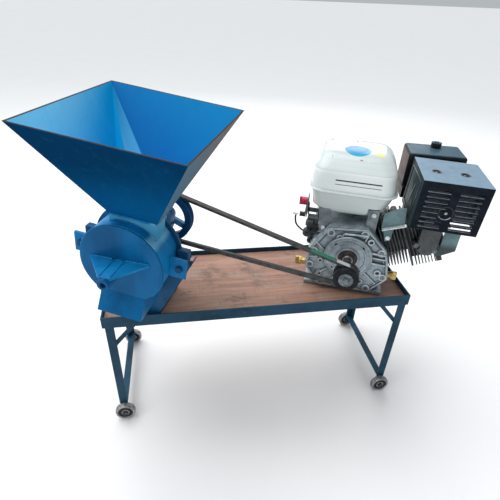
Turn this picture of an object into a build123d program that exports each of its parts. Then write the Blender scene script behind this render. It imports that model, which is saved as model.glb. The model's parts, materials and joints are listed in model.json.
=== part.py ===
"""Portable hammer mill: a grinding drum with a big feed hopper, belt-driven by a petrol engine,
both bolted to a plywood-topped angle-iron bench on four small wheels. Millimetres, +Z up.
Every sub-part is built from a few driving sizes and written to parts/NAME.step."""
from build123d import *
import os
from math import asin, atan2, cos, degrees, hypot, radians, sin, tan

# ---- Bench ----
BENCH_LENGTH = 750.0
BENCH_DEPTH = 258.0
RIM_TOP = 342.0            # top of the angle-iron rim above the floor
RIM_SIZE = 30.0
IRON = 3.0                 # thickness of the angle iron
DECK_THICKNESS = 14.0
LEG_SIZE = 20.0
LEG_INSET = 6.0            # of the legs' outer face from the bench ends
LEG_BOTTOM = 15.0
WHEEL_RADIUS = 25.0
WHEEL_WIDTH = 12.0
WHEEL_GAP = 3.0            # collar between a wheel and its leg
AXLE_RADIUS = 4.0
RUNNING_FIT = 0.08         # radial clearance of a shaft in its bore

HALF_LENGTH = BENCH_LENGTH / 2
HALF_DEPTH = BENCH_DEPTH / 2
RIM_BOTTOM = RIM_TOP - RIM_SIZE
DECK_TOP = RIM_BOTTOM + IRON + DECK_THICKNESS
LEG_CENTRE_X = HALF_LENGTH - LEG_INSET - LEG_SIZE / 2
AXLE_X = LEG_CENTRE_X - 3.0          # the axles sit a little inwards of the legs' middles

# ---- Where the two machines stand: both are turned together on the bench ----
GROUP_YAW = -22.72
MILL_U = -207.5            # mill shaft, along the turned X direction
MILL_Z = 522.0             # mill shaft above the floor
CASING_ROLL = 6.5          # the casing is clocked about its shaft, right side low
ENGINE_U = 223.9
SHAFT_ABOVE_DECK = 106.0
ENGINE_Z = DECK_TOP + SHAFT_ABOVE_DECK
COVER_V = 5.5              # the engine's front face, along the turned Y direction
BELT_V = -71.0             # middle of the belt

# ---- Mill ----
DRUM_RADIUS = 86.0
DRUM_WALL = 4.0
DRUM_FRONT = -287.0        # front face of the front disc
DRUM_BACK = -213.0         # where the drum meets the back plate
BACK_PLATE_THICKNESS = 6.0
BACK_PLATE_RADIUS = 95.0
LUG_REACH = 119.0          # of the drum's own lugs
PLATE_LUG_REACH = 112.0    # of the lugs on the back plate
LUG_HALF_HEIGHT = 22.0
LUG_BOLT_X = 105.0
MILL_DECK = DECK_TOP - MILL_Z        # deck level, measured from the mill shaft
SHAFT_RADIUS = 10.0
JOURNAL_RADIUS = 6.0
TUBE_TIP = -353.0
TUBE_RADIUS = 12.0
DISC_RADIUS = 46.0
DISC_THICKNESS = 4.0
DISC_PLACES = (-274.0, -248.0, -222.0)
PIN_CIRCLE = 38.0
PIN_RADIUS = 4.0
HAMMER_LENGTH = 37.0
HAMMER_HALF_WIDTH = 10.0
HAMMER_THICKNESS = 3.0
SCREEN_RADIUS = 80.0
SHEET = 2.5                # sheet steel of the hopper and chute
CHUTE_X = (-43.0, 52.0)

# ---- Hopper: mouth and throat, in the casing's own axes ----
MOUTH_X = (-112.0, 157.0)
MOUTH_Y = (-391.0, -97.0)
MOUTH_Z = 284.0
THROAT_X = (-33.0, 62.0)
THROAT_Y = (-264.0, -226.0)
THROAT_TOP = 96.0
PATCH_X = (5.0, 61.0)      # where the corner patch ends on the throat's back edge
PATCH_RAISE = 8.0          # of the patch's left edge, inwards from the back sheet

# ---- Pulleys and belt ----
MILL_PULLEY_RADIUS = 66.0
ENGINE_PULLEY_RADIUS = 29.0
ENGINE_PULLEY_WIDTH = 30.0
BELT_WIDTH = 13.0
BELT_HEIGHT = 8.0
BELT_HALF_ANGLE = 19.0
BELT_PITCH_DEPTH = 3.0     # from the belt's outer face to its pitch line
GROOVE_CLEARANCE = 0.4
MILL_PITCH = MILL_PULLEY_RADIUS - BELT_PITCH_DEPTH
ENGINE_PITCH = ENGINE_PULLEY_RADIUS - BELT_PITCH_DEPTH

# ---- Engine, measured from its shaft and its front face ----
ENGINE_DECK = -SHAFT_ABOVE_DECK
COVER_THICKNESS = 22.0
CRANKCASE_BACK = 130.0
PTO_CIRCLE = 92.0
PTO_HOLE_RADIUS = 3.4
CYLINDER_TILT = 25.0
CYLINDER_Y = 62.0
CRANK_THROW = 27.0
FAN_RADIUS = 99.0
FAN_END = 206.0
RECOIL_BACK = 244.0
FIN = 2.5                  # thickness of the cylinder's fins
GASKET = (136.5, 141.0)    # joint of cylinder and head, along the leaning axis
HEAD_END = 204.0
CLEANER_TOP = 231.0
GUARD_WIDTH = 140.0
GUARD_DEPTH = 140.0
GUARD_HEIGHT = 112.0
LOUVRE_ROWS = 8
LOUVRE_PITCH = 11.6
LOUVRE_LENGTH = 46.0
LOUVRE_COLUMNS = (14.0, 78.0)


def block(x, y, z):
    """Box from three (low, high) pairs."""
    size = [high - low for low, high in (x, y, z)]
    middle = [(high + low) / 2 for low, high in (x, y, z)]
    return Pos(*middle) * Box(*size)


def rod_y(radius, low, high, x=0.0, z=0.0):
    """Round bar along Y."""
    return Pos(x, (low + high) / 2, z) * Rot(90, 0, 0) * Cylinder(radius, high - low)


def rod_x(radius, low, high, y=0.0, z=0.0):
    """Round bar along X."""
    return Pos((low + high) / 2, y, z) * Rot(0, 90, 0) * Cylinder(radius, high - low)


def rod_z(radius, low, high, x=0.0, y=0.0):
    """Round bar along Z."""
    return Pos(x, y, (low + high) / 2) * Cylinder(radius, high - low)


def tube_y(outer, inner, low, high, x=0.0, z=0.0):
    """Round tube along Y."""
    return rod_y(outer, low, high, x, z) - rod_y(inner, low - 1, high + 1, x, z)


def hex_y(across_flats, low, high, x=0.0, z=0.0):
    """Hexagonal bar along Y."""
    corner = across_flats / 2 / cos(radians(30))
    face = Plane.XZ * RegularPolygon(corner, 6)
    return Pos(x, high, z) * extrude(face, high - low)


def hex_z(across_flats, low, high, x=0.0, y=0.0):
    """Hexagonal bar along Z."""
    corner = across_flats / 2 / cos(radians(30))
    return Pos(x, y, low) * extrude(RegularPolygon(corner, 6), high - low)


def slab_y(points, low, high):
    """Plate with an outline of (x, z) points, between two Y places."""
    face = make_face(Plane.XZ * Polyline(*points, close=True))
    return Pos(0, low, 0) * extrude(face, high - low, dir=(0, 1, 0))


def slab_x(points, low, high):
    """Plate with an outline of (y, z) points, between two X places."""
    face = make_face(Plane.YZ * Polyline(*points, close=True))
    return Pos(low, 0, 0) * extrude(face, high - low, dir=(1, 0, 0))


def slab_z(points, low, high):
    """Plate with an outline of (x, y) points, between two heights."""
    face = make_face(Polyline(*points, close=True))
    return Pos(0, 0, low) * extrude(face, high - low, dir=(0, 0, 1))


def turned_y(points):
    """Solid of revolution about Y from (radius, y) points."""
    return revolve(make_face(Polyline(*points, close=True)), Axis.Y)


def group(solids):
    """Separate solids of one node."""
    return Compound(children=[piece for shape in solids for piece in shape.solids()])


MILL_PLACE = Rot(0, 0, GROUP_YAW) * Pos(MILL_U, 0, MILL_Z)
CASING_PLACE = MILL_PLACE * Rot(0, CASING_ROLL, 0)
ENGINE_PLACE = Rot(0, 0, GROUP_YAW) * Pos(ENGINE_U, COVER_V, ENGINE_Z)
GROUP_PLACE = Rot(0, 0, GROUP_YAW)
CYLINDER_LEAN = Rot(0, -CYLINDER_TILT, 0)
GUARD_TURN = Pos(118, -20, 228) * Rot(0, 0, 3) * Rot(0, 1.7, 0)    # the guard sits a little askew


# ------------------------------------------------------------------ bench
def rim_rails():
    rails = []
    for side in (-1, 1):
        outer = sorted((side * HALF_DEPTH, side * (HALF_DEPTH - IRON)))
        flange = sorted((side * (HALF_DEPTH - IRON), side * (HALF_DEPTH - RIM_SIZE)))
        along = (-HALF_LENGTH, HALF_LENGTH)
        rails.append(block(along, outer, (RIM_BOTTOM, RIM_TOP))
                     + block(along, flange, (RIM_BOTTOM, RIM_BOTTOM + IRON)))
    for side in (-1, 1):
        outer = sorted((side * HALF_LENGTH, side * (HALF_LENGTH - IRON)))
        flange = sorted((side * HALF_LENGTH, side * (HALF_LENGTH - RIM_SIZE)))
        across = HALF_DEPTH - IRON
        between = HALF_DEPTH - RIM_SIZE
        rails.append(block(outer, (-across, across), (RIM_BOTTOM + IRON, RIM_TOP))
                     + block(flange, (-between, between), (RIM_BOTTOM, RIM_BOTTOM + IRON)))
    return group(rails)


def deck_board():
    gap = IRON + 0.5
    return block((-HALF_LENGTH + gap, HALF_LENGTH - gap), (-HALF_DEPTH + gap, HALF_DEPTH - gap),
                 (RIM_BOTTOM + IRON, DECK_TOP))


def corners():
    """The four (x side, y side) pairs of the bench."""
    return [(sx, sy) for sx in (-1, 1) for sy in (-1, 1)]


def legs():
    pieces = []
    for sx, sy in corners():
        end = HALF_LENGTH - LEG_INSET
        height = (LEG_BOTTOM, RIM_BOTTOM)
        face = block(sorted((sx * end, sx * (end - LEG_SIZE))),
                     sorted((sy * HALF_DEPTH, sy * (HALF_DEPTH - IRON))), height)
        side = block(sorted((sx * end, sx * (end - IRON))),
                     sorted((sy * HALF_DEPTH, sy * (HALF_DEPTH - LEG_SIZE))), height)
        hole = rod_y(AXLE_RADIUS + 0.3, -HALF_DEPTH - 1, HALF_DEPTH + 1,
                     sx * AXLE_X, WHEEL_RADIUS)
        pieces.append(face + side - hole)
    return group(pieces)


def crossbars():
    low = 32.0
    size = 18.0
    bars = []
    for side in (-1, 1):
        outer = HALF_LENGTH - LEG_INSET - IRON
        across = HALF_DEPTH - IRON
        web = block(sorted((side * outer, side * (outer - IRON))), (-across, across), (low, low + size))
        top = block(sorted((side * outer, side * (outer - size))), (-across, across),
                    (low + size - IRON, low + size))
        bars.append(web + top)
    return group(bars)


def leg_braces():
    """Flat bars from each leg up to the long rails."""
    foot = LEG_CENTRE_X - 8
    reach = 52.0
    drop = 62.0
    outline = [(foot, RIM_BOTTOM - drop), (foot, RIM_BOTTOM - drop + 16),
               (foot - reach + 13, RIM_BOTTOM), (foot - reach, RIM_BOTTOM)]
    bars = []
    for sx, sy in corners():
        inner = sy * (HALF_DEPTH - IRON)
        bars.append(slab_y([(sx * x, z) for x, z in outline], *sorted((inner, inner - sy * 4))))
    return group(bars)


def wheel_place(sy):
    """Low and high Y of the wheels on one side."""
    near = sy * (HALF_DEPTH + WHEEL_GAP)
    return sorted((near, near + sy * WHEEL_WIDTH))


def wheel_axles():
    axles = []
    flats = 13.0
    for sx, sy in corners():
        x = sx * AXLE_X
        low, high = wheel_place(sy)
        outer = high if sy > 0 else low
        face = sy * HALF_DEPTH
        inner = sy * (HALF_DEPTH - IRON)
        shank = rod_y(AXLE_RADIUS, *sorted((outer + sy * 2, inner - sy * 8)), x, WHEEL_RADIUS)
        head = hex_y(flats, *sorted((outer + sy * 0.4, outer + sy * 5.4)), x, WHEEL_RADIUS)
        collar = rod_y(6.5, *sorted((face, face + sy * (WHEEL_GAP - 0.4))), x, WHEEL_RADIUS)
        nut = hex_y(flats, *sorted((inner, inner - sy * 6.5)), x, WHEEL_RADIUS)
        axles.append(shank + head + collar + nut)
    return group(axles)


def wheel(sx, sy):
    """Steel wheel with a raised rim and hub."""
    low, high = wheel_place(sy)
    bore = AXLE_RADIUS + RUNNING_FIT
    rim_inner = WHEEL_RADIUS - 5.0
    hub = 8.0
    recess = 3.5
    outline = [(bore, low), (hub, low), (hub + 1, low + recess), (rim_inner - 1, low + recess),
               (rim_inner, low), (WHEEL_RADIUS - 1.5, low), (WHEEL_RADIUS, low + 1.5),
               (WHEEL_RADIUS, high - 1.5), (WHEEL_RADIUS - 1.5, high), (rim_inner, high),
               (rim_inner - 1, high - recess), (hub + 1, high - recess), (hub, high), (bore, high)]
    return Pos(sx * AXLE_X, 0, WHEEL_RADIUS) * turned_y(outline)


# ------------------------------------------------------------------ mill stand and casing
STAND_TOP = -34.0
STAND_BACK = DRUM_BACK + BACK_PLATE_THICKNESS      # the stand starts behind the back plate
PEDESTAL_END = -92.0
PEDESTAL_HALF = 22.0
HOUSING_Y = (-188.0, -94.0)
FOOT_BOLTS = [(x, y) for x in (-31.0, 31.0) for y in (-172.0, -110.0)]
DECK_BOLTS = [(-42.0, y) for y in (-190.0, -150.0, -110.0)]


def mill_stand():
    """V-shaped front plate with folded edges, foot plate and bearing pedestal."""
    floor = MILL_DECK + 6
    top = -22.0
    foot = block((-58, 27), (STAND_BACK, PEDESTAL_END), (MILL_DECK, floor))
    for x, y in DECK_BOLTS:
        foot -= rod_z(5.5, MILL_DECK - 1, floor + 1, x, y)
    web = slab_y([(-26, floor), (26, floor), (102, -52), (-102, -52)], STAND_BACK, STAND_BACK + 4)
    web -= rod_y(42, STAND_BACK - 1, STAND_BACK + 5)
    flanges = []
    for side in (-1, 1):
        outer = [(side * x, z) for x, z in ((1, floor), (26, floor), (118, top), (93, top))]
        fold = [(side * x, z) for x, z in ((22.5, floor), (26, floor), (118, top), (114.5, top))]
        flanges.append(slab_y(outer, STAND_BACK, STAND_BACK + 4)
                       + slab_y(fold, STAND_BACK, STAND_BACK + 22))
    web = web + flanges[0] + flanges[1]
    inner = PEDESTAL_HALF - 4
    start = STAND_BACK + 4
    pedestal = block((-PEDESTAL_HALF, PEDESTAL_HALF), (start, PEDESTAL_END), (floor, STAND_TOP - 4))
    pedestal -= block((-inner, inner), (start + 4, PEDESTAL_END - 4), (floor - 1, STAND_TOP))
    saddle = block((-40, 40), (start, PEDESTAL_END), (STAND_TOP - 4, STAND_TOP))
    for x, y in FOOT_BOLTS:
        saddle -= rod_z(4.5, STAND_TOP - 5, STAND_TOP + 1, x, y)
    return MILL_PLACE * group([foot, web, pedestal + saddle])


def bolt_down(x, y, grip_low, grip_high, radius, flats):
    """Bolt with its head on top and its nut below."""
    shank = rod_z(radius, grip_low - 10, grip_high + 1, x, y)
    head = hex_z(flats, grip_high, grip_high + radius * 1.3, x, y)
    nut = hex_z(flats, grip_low - radius * 1.6, grip_low, x, y)
    return shank + head + nut


def stand_bolts():
    bolts = []
    for x, y in FOOT_BOLTS:
        bolts.append(bolt_down(x, y, STAND_TOP - 4, STAND_TOP + 8, 4, 13))
    for x, y in DECK_BOLTS:
        head_seat = MILL_DECK + 6
        bolts.append(rod_z(4.5, MILL_DECK, head_seat + 1, x, y) + hex_z(16, head_seat, head_seat + 6.5, x, y))
    return [MILL_PLACE * bolt for bolt in bolts]


def lug_bolts():
    """Bolts that clamp the drum's lugs to the back plate."""
    bolts = []
    for side in (-1, 1):
        x = side * LUG_BOLT_X
        shank = rod_y(4, -252, STAND_BACK + 12, x)
        head = hex_y(13, -256.5, -251, x)
        nut = hex_y(13, STAND_BACK, STAND_BACK + 7, x)
        bolts.append(CASING_PLACE * (shank + head + nut))
    return bolts


def mill_bolts():
    return group(stand_bolts() + lug_bolts())


def lug_plate(side, reach, low, high):
    """One bolt lug beside the drum, with its bolt hole."""
    x = sorted((side * (DRUM_RADIUS - 2), side * reach))
    plate = block(x, (low, high), (-LUG_HALF_HEIGHT, LUG_HALF_HEIGHT))
    return plate - rod_y(4.4, low - 1, high + 1, side * LUG_BOLT_X)


def back_plate():
    plate = tube_y(BACK_PLATE_RADIUS, SHAFT_RADIUS + 4, DRUM_BACK, STAND_BACK)
    for side in (-1, 1):
        plate += lug_plate(side, PLATE_LUG_REACH, DRUM_BACK, STAND_BACK)
        plate += lug_plate(side, PLATE_LUG_REACH, DRUM_BACK - 10, DRUM_BACK) - rod_y(DRUM_RADIUS + 3, -230, -200)
    return CASING_PLACE * plate


def drum_shell():
    """Rolled casing ring with its feed opening, outlet and two lugs."""
    start = DRUM_FRONT + 4
    shell = rod_y(DRUM_RADIUS, start, DRUM_BACK)
    for side in (-1, 1):
        shell += lug_plate(side, LUG_REACH, -251, -245)
    shell -= rod_y(DRUM_RADIUS - DRUM_WALL, start - 1, DRUM_BACK + 1)
    edge = 5
    shell -= block((THROAT_X[0] + edge, THROAT_X[1] - edge), (THROAT_Y[0] + edge, THROAT_Y[1] - edge), (0, 100))
    shell -= block((-38, 44), (start + 6, DRUM_BACK - 12), (-100, 0))
    return CASING_PLACE * shell


def front_disc():
    disc = tube_y(DRUM_RADIUS, TUBE_RADIUS, DRUM_FRONT, DRUM_FRONT + 4)
    return CASING_PLACE * disc


def bearing_tube():
    """Front bearing: a plain tube that carries the shaft's thin end."""
    return MILL_PLACE * tube_y(TUBE_RADIUS, JOURNAL_RADIUS + RUNNING_FIT, TUBE_TIP, DRUM_FRONT + 5)


def hub_gusset():
    outline = [(-62, DRUM_FRONT), (62, DRUM_FRONT), (12, TUBE_TIP + 7), (-12, TUBE_TIP + 7)]
    return MILL_PLACE * (slab_z(outline, 8, 13) - rod_y(TUBE_RADIUS, TUBE_TIP - 1, DRUM_FRONT + 1))


def screen():
    """Perforated lower half ring that sizes the meal."""
    inner = SCREEN_RADIUS - 1.5
    ring = tube_y(SCREEN_RADIUS, inner, DRUM_FRONT + 5, DRUM_BACK - 1)
    ring -= block((-100, 100), (-300, -200), (0, 100))
    for turn in range(-60, 61, 15):
        for y in range(-274, -220, 12):
            hole = Rot(0, turn, 0) * Pos(0, y, -SCREEN_RADIUS) * Cylinder(2.5, 12)
            ring -= hole
    return CASING_PLACE * ring


def chute_body(wall):
    """Chute's outer block, or the space inside it for a given wall."""
    front_top = (DRUM_FRONT - 0.5 + wall, -70)
    front_bottom = (DRUM_FRONT - 21 + wall, -112 - wall)
    back = -224 - wall
    outline = [front_top, front_bottom, (back, -112 - wall), (back, -50)]
    return slab_x(outline, CHUTE_X[0] + wall, CHUTE_X[1] - wall)


def discharge_chute():
    body = chute_body(0) - chute_body(SHEET)
    body -= rod_y(DRUM_RADIUS, DRUM_FRONT, -200)
    return CASING_PLACE * group(body.solids().sort_by(SortBy.VOLUME)[-1:])


# ------------------------------------------------------------------ hopper
def hopper_corners():
    """Corners of the mouth and of the throat, by (right side, back side)."""
    corner = [(i, j) for i in (0, 1) for j in (0, 1)]
    mouth = {(i, j): Vector(MOUTH_X[i], MOUTH_Y[j], MOUTH_Z) for i, j in corner}
    throat = {(i, j): Vector(THROAT_X[i], THROAT_Y[j], THROAT_TOP) for i, j in corner}
    return mouth, throat


def sheet_plate(points):
    """Flat sheet with its outside on the given corners, thickened inwards."""
    face = make_face(Polyline(*points, close=True)).face()
    centre = Vector(sum(MOUTH_X) / 2, sum(MOUTH_Y) / 2, (MOUTH_Z + THROAT_TOP) / 2)
    normal = face.normal_at()
    inwards = normal if normal.dot(centre - face.center()) > 0 else -normal
    return extrude(face, SHEET, dir=inwards)


def corner_patch(mouth_corner):
    """Thin wedge on the back sheet, from the mouth's corner down to the throat's back edge."""
    left, right = PATCH_X
    back = THROAT_Y[1]
    base = [Vector(left, back, THROAT_TOP), Vector(right, back, THROAT_TOP),
            Vector(left, back - PATCH_RAISE, THROAT_TOP)]
    sides = [base] + [[base[i], base[(i + 1) % 3], mouth_corner] for i in range(3)]
    faces = [make_face(Polyline(*side, close=True)).face() for side in sides]
    return Solid(Shell(faces))


def hopper_plates():
    """The four hopper sheets and the patch, each trimmed where it meets its neighbours."""
    mouth, throat = hopper_corners()
    front = sheet_plate([mouth[0, 0], mouth[1, 0], throat[1, 0], throat[0, 0]])
    back = sheet_plate([mouth[0, 1], mouth[1, 1], throat[1, 1], throat[0, 1]])
    left = sheet_plate([mouth[0, 0], mouth[0, 1], throat[0, 1], throat[0, 0]]) - front - back
    right = sheet_plate([mouth[1, 0], mouth[1, 1], throat[1, 1], throat[1, 0]]) - front - back
    patch = corner_patch(mouth[0, 1]) - left - back
    plates = {"hopper_front_plate": front, "hopper_back_plate": back, "hopper_left_plate": left,
              "hopper_right_plate": right, "hopper_corner_plate": patch}
    below = block((-300, 300), (-500, 0), (0, THROAT_TOP))
    above = block((-300, 300), (-500, 0), (MOUTH_Z, MOUTH_Z + 50))
    trimmed = {}
    for name, plate in plates.items():
        piece = (plate - below - above).solids().sort_by(SortBy.VOLUME)[-1]
        trimmed[name] = CASING_PLACE * piece
    return trimmed


def hopper_throat():
    """Collar between the hopper and the drum."""
    outside = block(THROAT_X, THROAT_Y, (40, THROAT_TOP))
    inside_x = (THROAT_X[0] + SHEET, THROAT_X[1] - SHEET)
    inside_y = (THROAT_Y[0] + SHEET, THROAT_Y[1] - SHEET)
    collar = outside - block(inside_x, inside_y, (30, THROAT_TOP + 1))
    return CASING_PLACE * (collar - rod_y(DRUM_RADIUS, -300, -200))


# ------------------------------------------------------------------ rotor
def bearing_housing():
    housing = rod_y(31, *HOUSING_Y)
    foot = block((-40, 40), (HOUSING_Y[0] + 4, HOUSING_Y[1] - 4), (STAND_TOP, STAND_TOP + 8))
    neck = block((-22, 22), (HOUSING_Y[0] + 4, HOUSING_Y[1] - 4), (STAND_TOP + 8, -20))
    housing = housing + foot + neck
    housing -= rod_y(20, HOUSING_Y[0] - 1, HOUSING_Y[1] + 1)
    for low in (HOUSING_Y[0], HOUSING_Y[1] - 14):
        housing -= rod_y(23.5, low - 0.001, low + 14.001)
    for x, y in FOOT_BOLTS:
        housing -= rod_z(4.5, STAND_TOP - 1, STAND_TOP + 9, x, y)
    return MILL_PLACE * housing


def ball_bearings():
    """Two deep-groove bearings, each as one ring."""
    rings = []
    for low in (HOUSING_Y[0], HOUSING_Y[1] - 14):
        rings.append(tube_y(23.5, SHAFT_RADIUS + RUNNING_FIT, low, low + 14))
    return MILL_PLACE * group(rings)


def rotor_shaft():
    thin = rod_y(JOURNAL_RADIUS, TUBE_TIP + 10, -279)
    thick = rod_y(SHAFT_RADIUS, -280, BELT_V + 18)
    return MILL_PLACE * (thin + thick)


def pin_places():
    """The four hammer pins: name, x side and z side."""
    return [("a", 1, 1), ("b", 1, -1), ("c", -1, -1), ("d", -1, 1)]


PIN_OFFSET = PIN_CIRCLE * cos(radians(45))


def rotor_discs():
    """Hub tube with its three pin discs."""
    first, last = DISC_PLACES[0], DISC_PLACES[-1]
    half = DISC_THICKNESS / 2
    rotor = rod_y(SHAFT_RADIUS + 4, first - half, last + half)
    for y in DISC_PLACES:
        rotor += rod_y(DISC_RADIUS, y - half, y + half)
    for _, sx, sz in pin_places():
        rotor -= rod_y(PIN_RADIUS + 0.05, first - 5, last + 5, sx * PIN_OFFSET, sz * PIN_OFFSET)
    rotor -= rod_y(SHAFT_RADIUS, first - 5, last + 5)
    return MILL_PLACE * rotor


def hammer_slots(sx, sz):
    """Y places of one row's hammers: neighbouring rows are staggered."""
    stagger = 1.5 if sx * sz > 0 else 7.0
    bays = [place + DISC_THICKNESS / 2 for place in DISC_PLACES[:2]]
    return [bay + stagger + step for bay in bays for step in (0.0, 11.0)]


def hammer_pins():
    """Headed pins, each with the spacers between its hammers."""
    pins = []
    gap = 0.3
    half = DISC_THICKNESS / 2
    for _, sx, sz in pin_places():
        x, z = sx * PIN_OFFSET, sz * PIN_OFFSET
        start, end = DISC_PLACES[0] - half, DISC_PLACES[-1] + half
        pin = rod_y(PIN_RADIUS, start - 3, end + 3, x, z) + rod_y(6, start - 3, start - 0.2, x, z)
        for disc in DISC_PLACES[:2]:
            low = disc + half
            high = low + DISC_PLACES[1] - DISC_PLACES[0] - DISC_THICKNESS
            spacer = rod_y(7, low + gap, high - gap, x, z)
            for y in hammer_slots(sx, sz):
                spacer -= rod_y(7.5, y - gap, y + HAMMER_THICKNESS + gap, x, z)
            pin += spacer
        pins.append(pin)
    return MILL_PLACE * group(pins)


def hammer_row(sx, sz):
    """Flat swinging hammers of one pin, hanging down at rest."""
    x, z = sx * PIN_OFFSET, sz * PIN_OFFSET
    bars = []
    for y in hammer_slots(sx, sz):
        end = y + HAMMER_THICKNESS
        bar = block((x - HAMMER_HALF_WIDTH, x + HAMMER_HALF_WIDTH), (y, end), (z - HAMMER_LENGTH, z))
        bar += rod_y(HAMMER_HALF_WIDTH, y, end, x, z)
        bars.append(bar - rod_y(PIN_RADIUS + RUNNING_FIT, y - 1, end + 1, x, z))
    return MILL_PLACE * group(bars)


# ------------------------------------------------------------------ belt drive
def groove(radius):
    """V groove cut for the belt, about Y at the belt's middle."""
    half_top = BELT_WIDTH / 2 + GROOVE_CLEARANCE
    depth = BELT_HEIGHT + 2.0
    half_bottom = half_top - depth * tan(radians(BELT_HALF_ANGLE))
    over = 1.0
    half_over = half_top + over * tan(radians(BELT_HALF_ANGLE))
    return turned_y([(radius + over, -half_over), (radius + over, half_over),
                     (radius - depth, half_bottom), (radius - depth, -half_bottom)])


def mill_pulley():
    """Cast pulley with four spokes."""
    rim = tube_y(MILL_PULLEY_RADIUS, 50, -10, 10) - groove(MILL_PULLEY_RADIUS)
    hub = rod_y(19, -15, 15)
    pulley = rim + hub
    for turn in range(25, 385, 90):
        pulley += Rot(0, turn, 0) * block((15, 52), (-5, 5), (-7, 7))
    pulley -= rod_y(SHAFT_RADIUS, -20, 20)
    return MILL_PLACE * Pos(0, BELT_V, 0) * pulley


def engine_pulley():
    half = ENGINE_PULLEY_WIDTH / 2
    body = tube_y(ENGINE_PULLEY_RADIUS, SHAFT_RADIUS, -half, half) - groove(ENGINE_PULLEY_RADIUS)
    return ENGINE_PLACE * Pos(0, BELT_V - COVER_V, 0) * body


def belt_points():
    """Tangent points of the pitch line on both pulleys, upper run then lower run."""
    run_x = ENGINE_U - MILL_U
    run_z = ENGINE_Z - MILL_Z
    slope = atan2(run_z, run_x)
    lean = asin((MILL_PITCH - ENGINE_PITCH) / hypot(run_x, run_z))
    points = []
    for side in (1, -1):
        turn = slope + side * (radians(90) - lean)
        points.append((MILL_U + MILL_PITCH * cos(turn), MILL_Z + MILL_PITCH * sin(turn)))
        points.append((ENGINE_U + ENGINE_PITCH * cos(turn), ENGINE_Z + ENGINE_PITCH * sin(turn)))
    return points


def v_belt():
    """Endless belt of trapezoid section along its pitch line."""
    upper_mill, upper_engine, lower_mill, lower_engine = belt_points()
    far_mill = (MILL_U - MILL_PITCH, MILL_Z)
    far_engine = (ENGINE_U + ENGINE_PITCH, ENGINE_Z)
    start = [Vector(x, BELT_V, z) for x, z in
             (upper_mill, upper_engine, far_engine, lower_engine, lower_mill, far_mill)]
    path = Wire([Edge.make_line(start[0], start[1]), Edge.make_three_point_arc(*start[1:4]),
                 Edge.make_line(start[3], start[4]), Edge.make_three_point_arc(*start[4:6], start[0])])
    along = (start[1] - start[0]).normalized()
    outwards = Vector(-along.Z, 0, along.X)
    section = Plane(origin=start[0], x_dir=(0, 1, 0), z_dir=along)
    up = 1 if section.y_dir.dot(outwards) > 0 else -1
    half_top = BELT_WIDTH / 2
    half_bottom = half_top - BELT_HEIGHT * tan(radians(BELT_HALF_ANGLE))
    top = up * BELT_PITCH_DEPTH
    bottom = up * (BELT_PITCH_DEPTH - BELT_HEIGHT)
    face = make_face(section * Polyline((-half_top, top), (half_top, top), (half_bottom, bottom),
                                        (-half_bottom, bottom), close=True))
    return GROUP_PLACE * sweep(face, path)


def pulley_bolt():
    """Bolt and thick washer on the end of the engine's shaft."""
    face = BELT_V - COVER_V - ENGINE_PULLEY_WIDTH / 2
    washer = rod_y(16.5, face - 3.5, face)
    head = hex_y(13, face - 9, face - 3.5)
    return ENGINE_PLACE * (washer + head)


# ------------------------------------------------------------------ engine
CASE_OUTLINE = [(-56, 72), (36, 82), (86, 32), (96, 0), (104, -48), (66, -94), (-66, -94),
                (-101, -42), (-95, 6)]
ELBOW_BOLTS = [(145, 61), (187, 53)]
ELBOW_SEAT = 9.0
MOUNT_BOLTS = [(x, y) for x in (-81.0, 81.0) for y in (30.0, 105.5)]
COVER_BOLTS = [(-48, 60), (30, 68), (76, 24), (91, -44), (58, -83), (-56, -84), (-88, -38), (-82, 4)]


def pto_holes(low, high):
    """The four threaded holes round the shaft."""
    radius = PTO_CIRCLE / 2
    cuts = []
    for turn in range(45, 360, 90):
        x, z = radius * cos(radians(turn)), radius * sin(radians(turn))
        cuts.append(rod_y(PTO_HOLE_RADIUS, low, high, x, z))
    return cuts


def side_cover():
    """Front casting that carries the output shaft."""
    cover = slab_y(CASE_OUTLINE, 8, COVER_THICKNESS)
    cover += rod_y(58, 0, COVER_THICKNESS)
    for cut in pto_holes(-1, 15):
        cover -= cut
    cover -= rod_y(SHAFT_RADIUS + RUNNING_FIT, -1, 12)
    cover -= rod_y(44, 12, COVER_THICKNESS + 1)
    for x, z in COVER_BOLTS:
        cover -= rod_y(3.5, 7, COVER_THICKNESS + 1, x, z)
    return ENGINE_PLACE * cover


def crankcase():
    """Cast body with its foot plate."""
    body = slab_y(CASE_OUTLINE, COVER_THICKNESS, CRANKCASE_BACK)
    body -= rod_y(50, COVER_THICKNESS - 1, CRANKCASE_BACK - 8)
    body -= rod_y(12 + RUNNING_FIT, CRANKCASE_BACK - 10, CRANKCASE_BACK + 1)
    foot = block((-98, 98), (14, 122), (ENGINE_DECK, -94))
    for x, y in MOUNT_BOLTS:
        foot -= rod_z(5, ENGINE_DECK - 1, -93, x, y)
    body += foot
    lean_bore = CYLINDER_LEAN * rod_x(34, 0, 130, CYLINDER_Y)
    return ENGINE_PLACE * (body - lean_bore)


def engine_bolts():
    """Cover screws and the bolts that hold the engine down."""
    bolts = []
    for x, z in COVER_BOLTS:
        bolts.append(rod_y(3.5, 8, COVER_THICKNESS, x, z) + hex_y(10, 2, 8, x, z))
    for x, y in MOUNT_BOLTS:
        bolts.append(rod_z(4, ENGINE_DECK, -93, x, y) + hex_z(13, -94, -87, x, y))
    for x, z in ELBOW_BOLTS:
        bolts.append(hex_y(11, ELBOW_SEAT - 7, ELBOW_SEAT, x, z))
    return ENGINE_PLACE * group(bolts)


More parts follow.
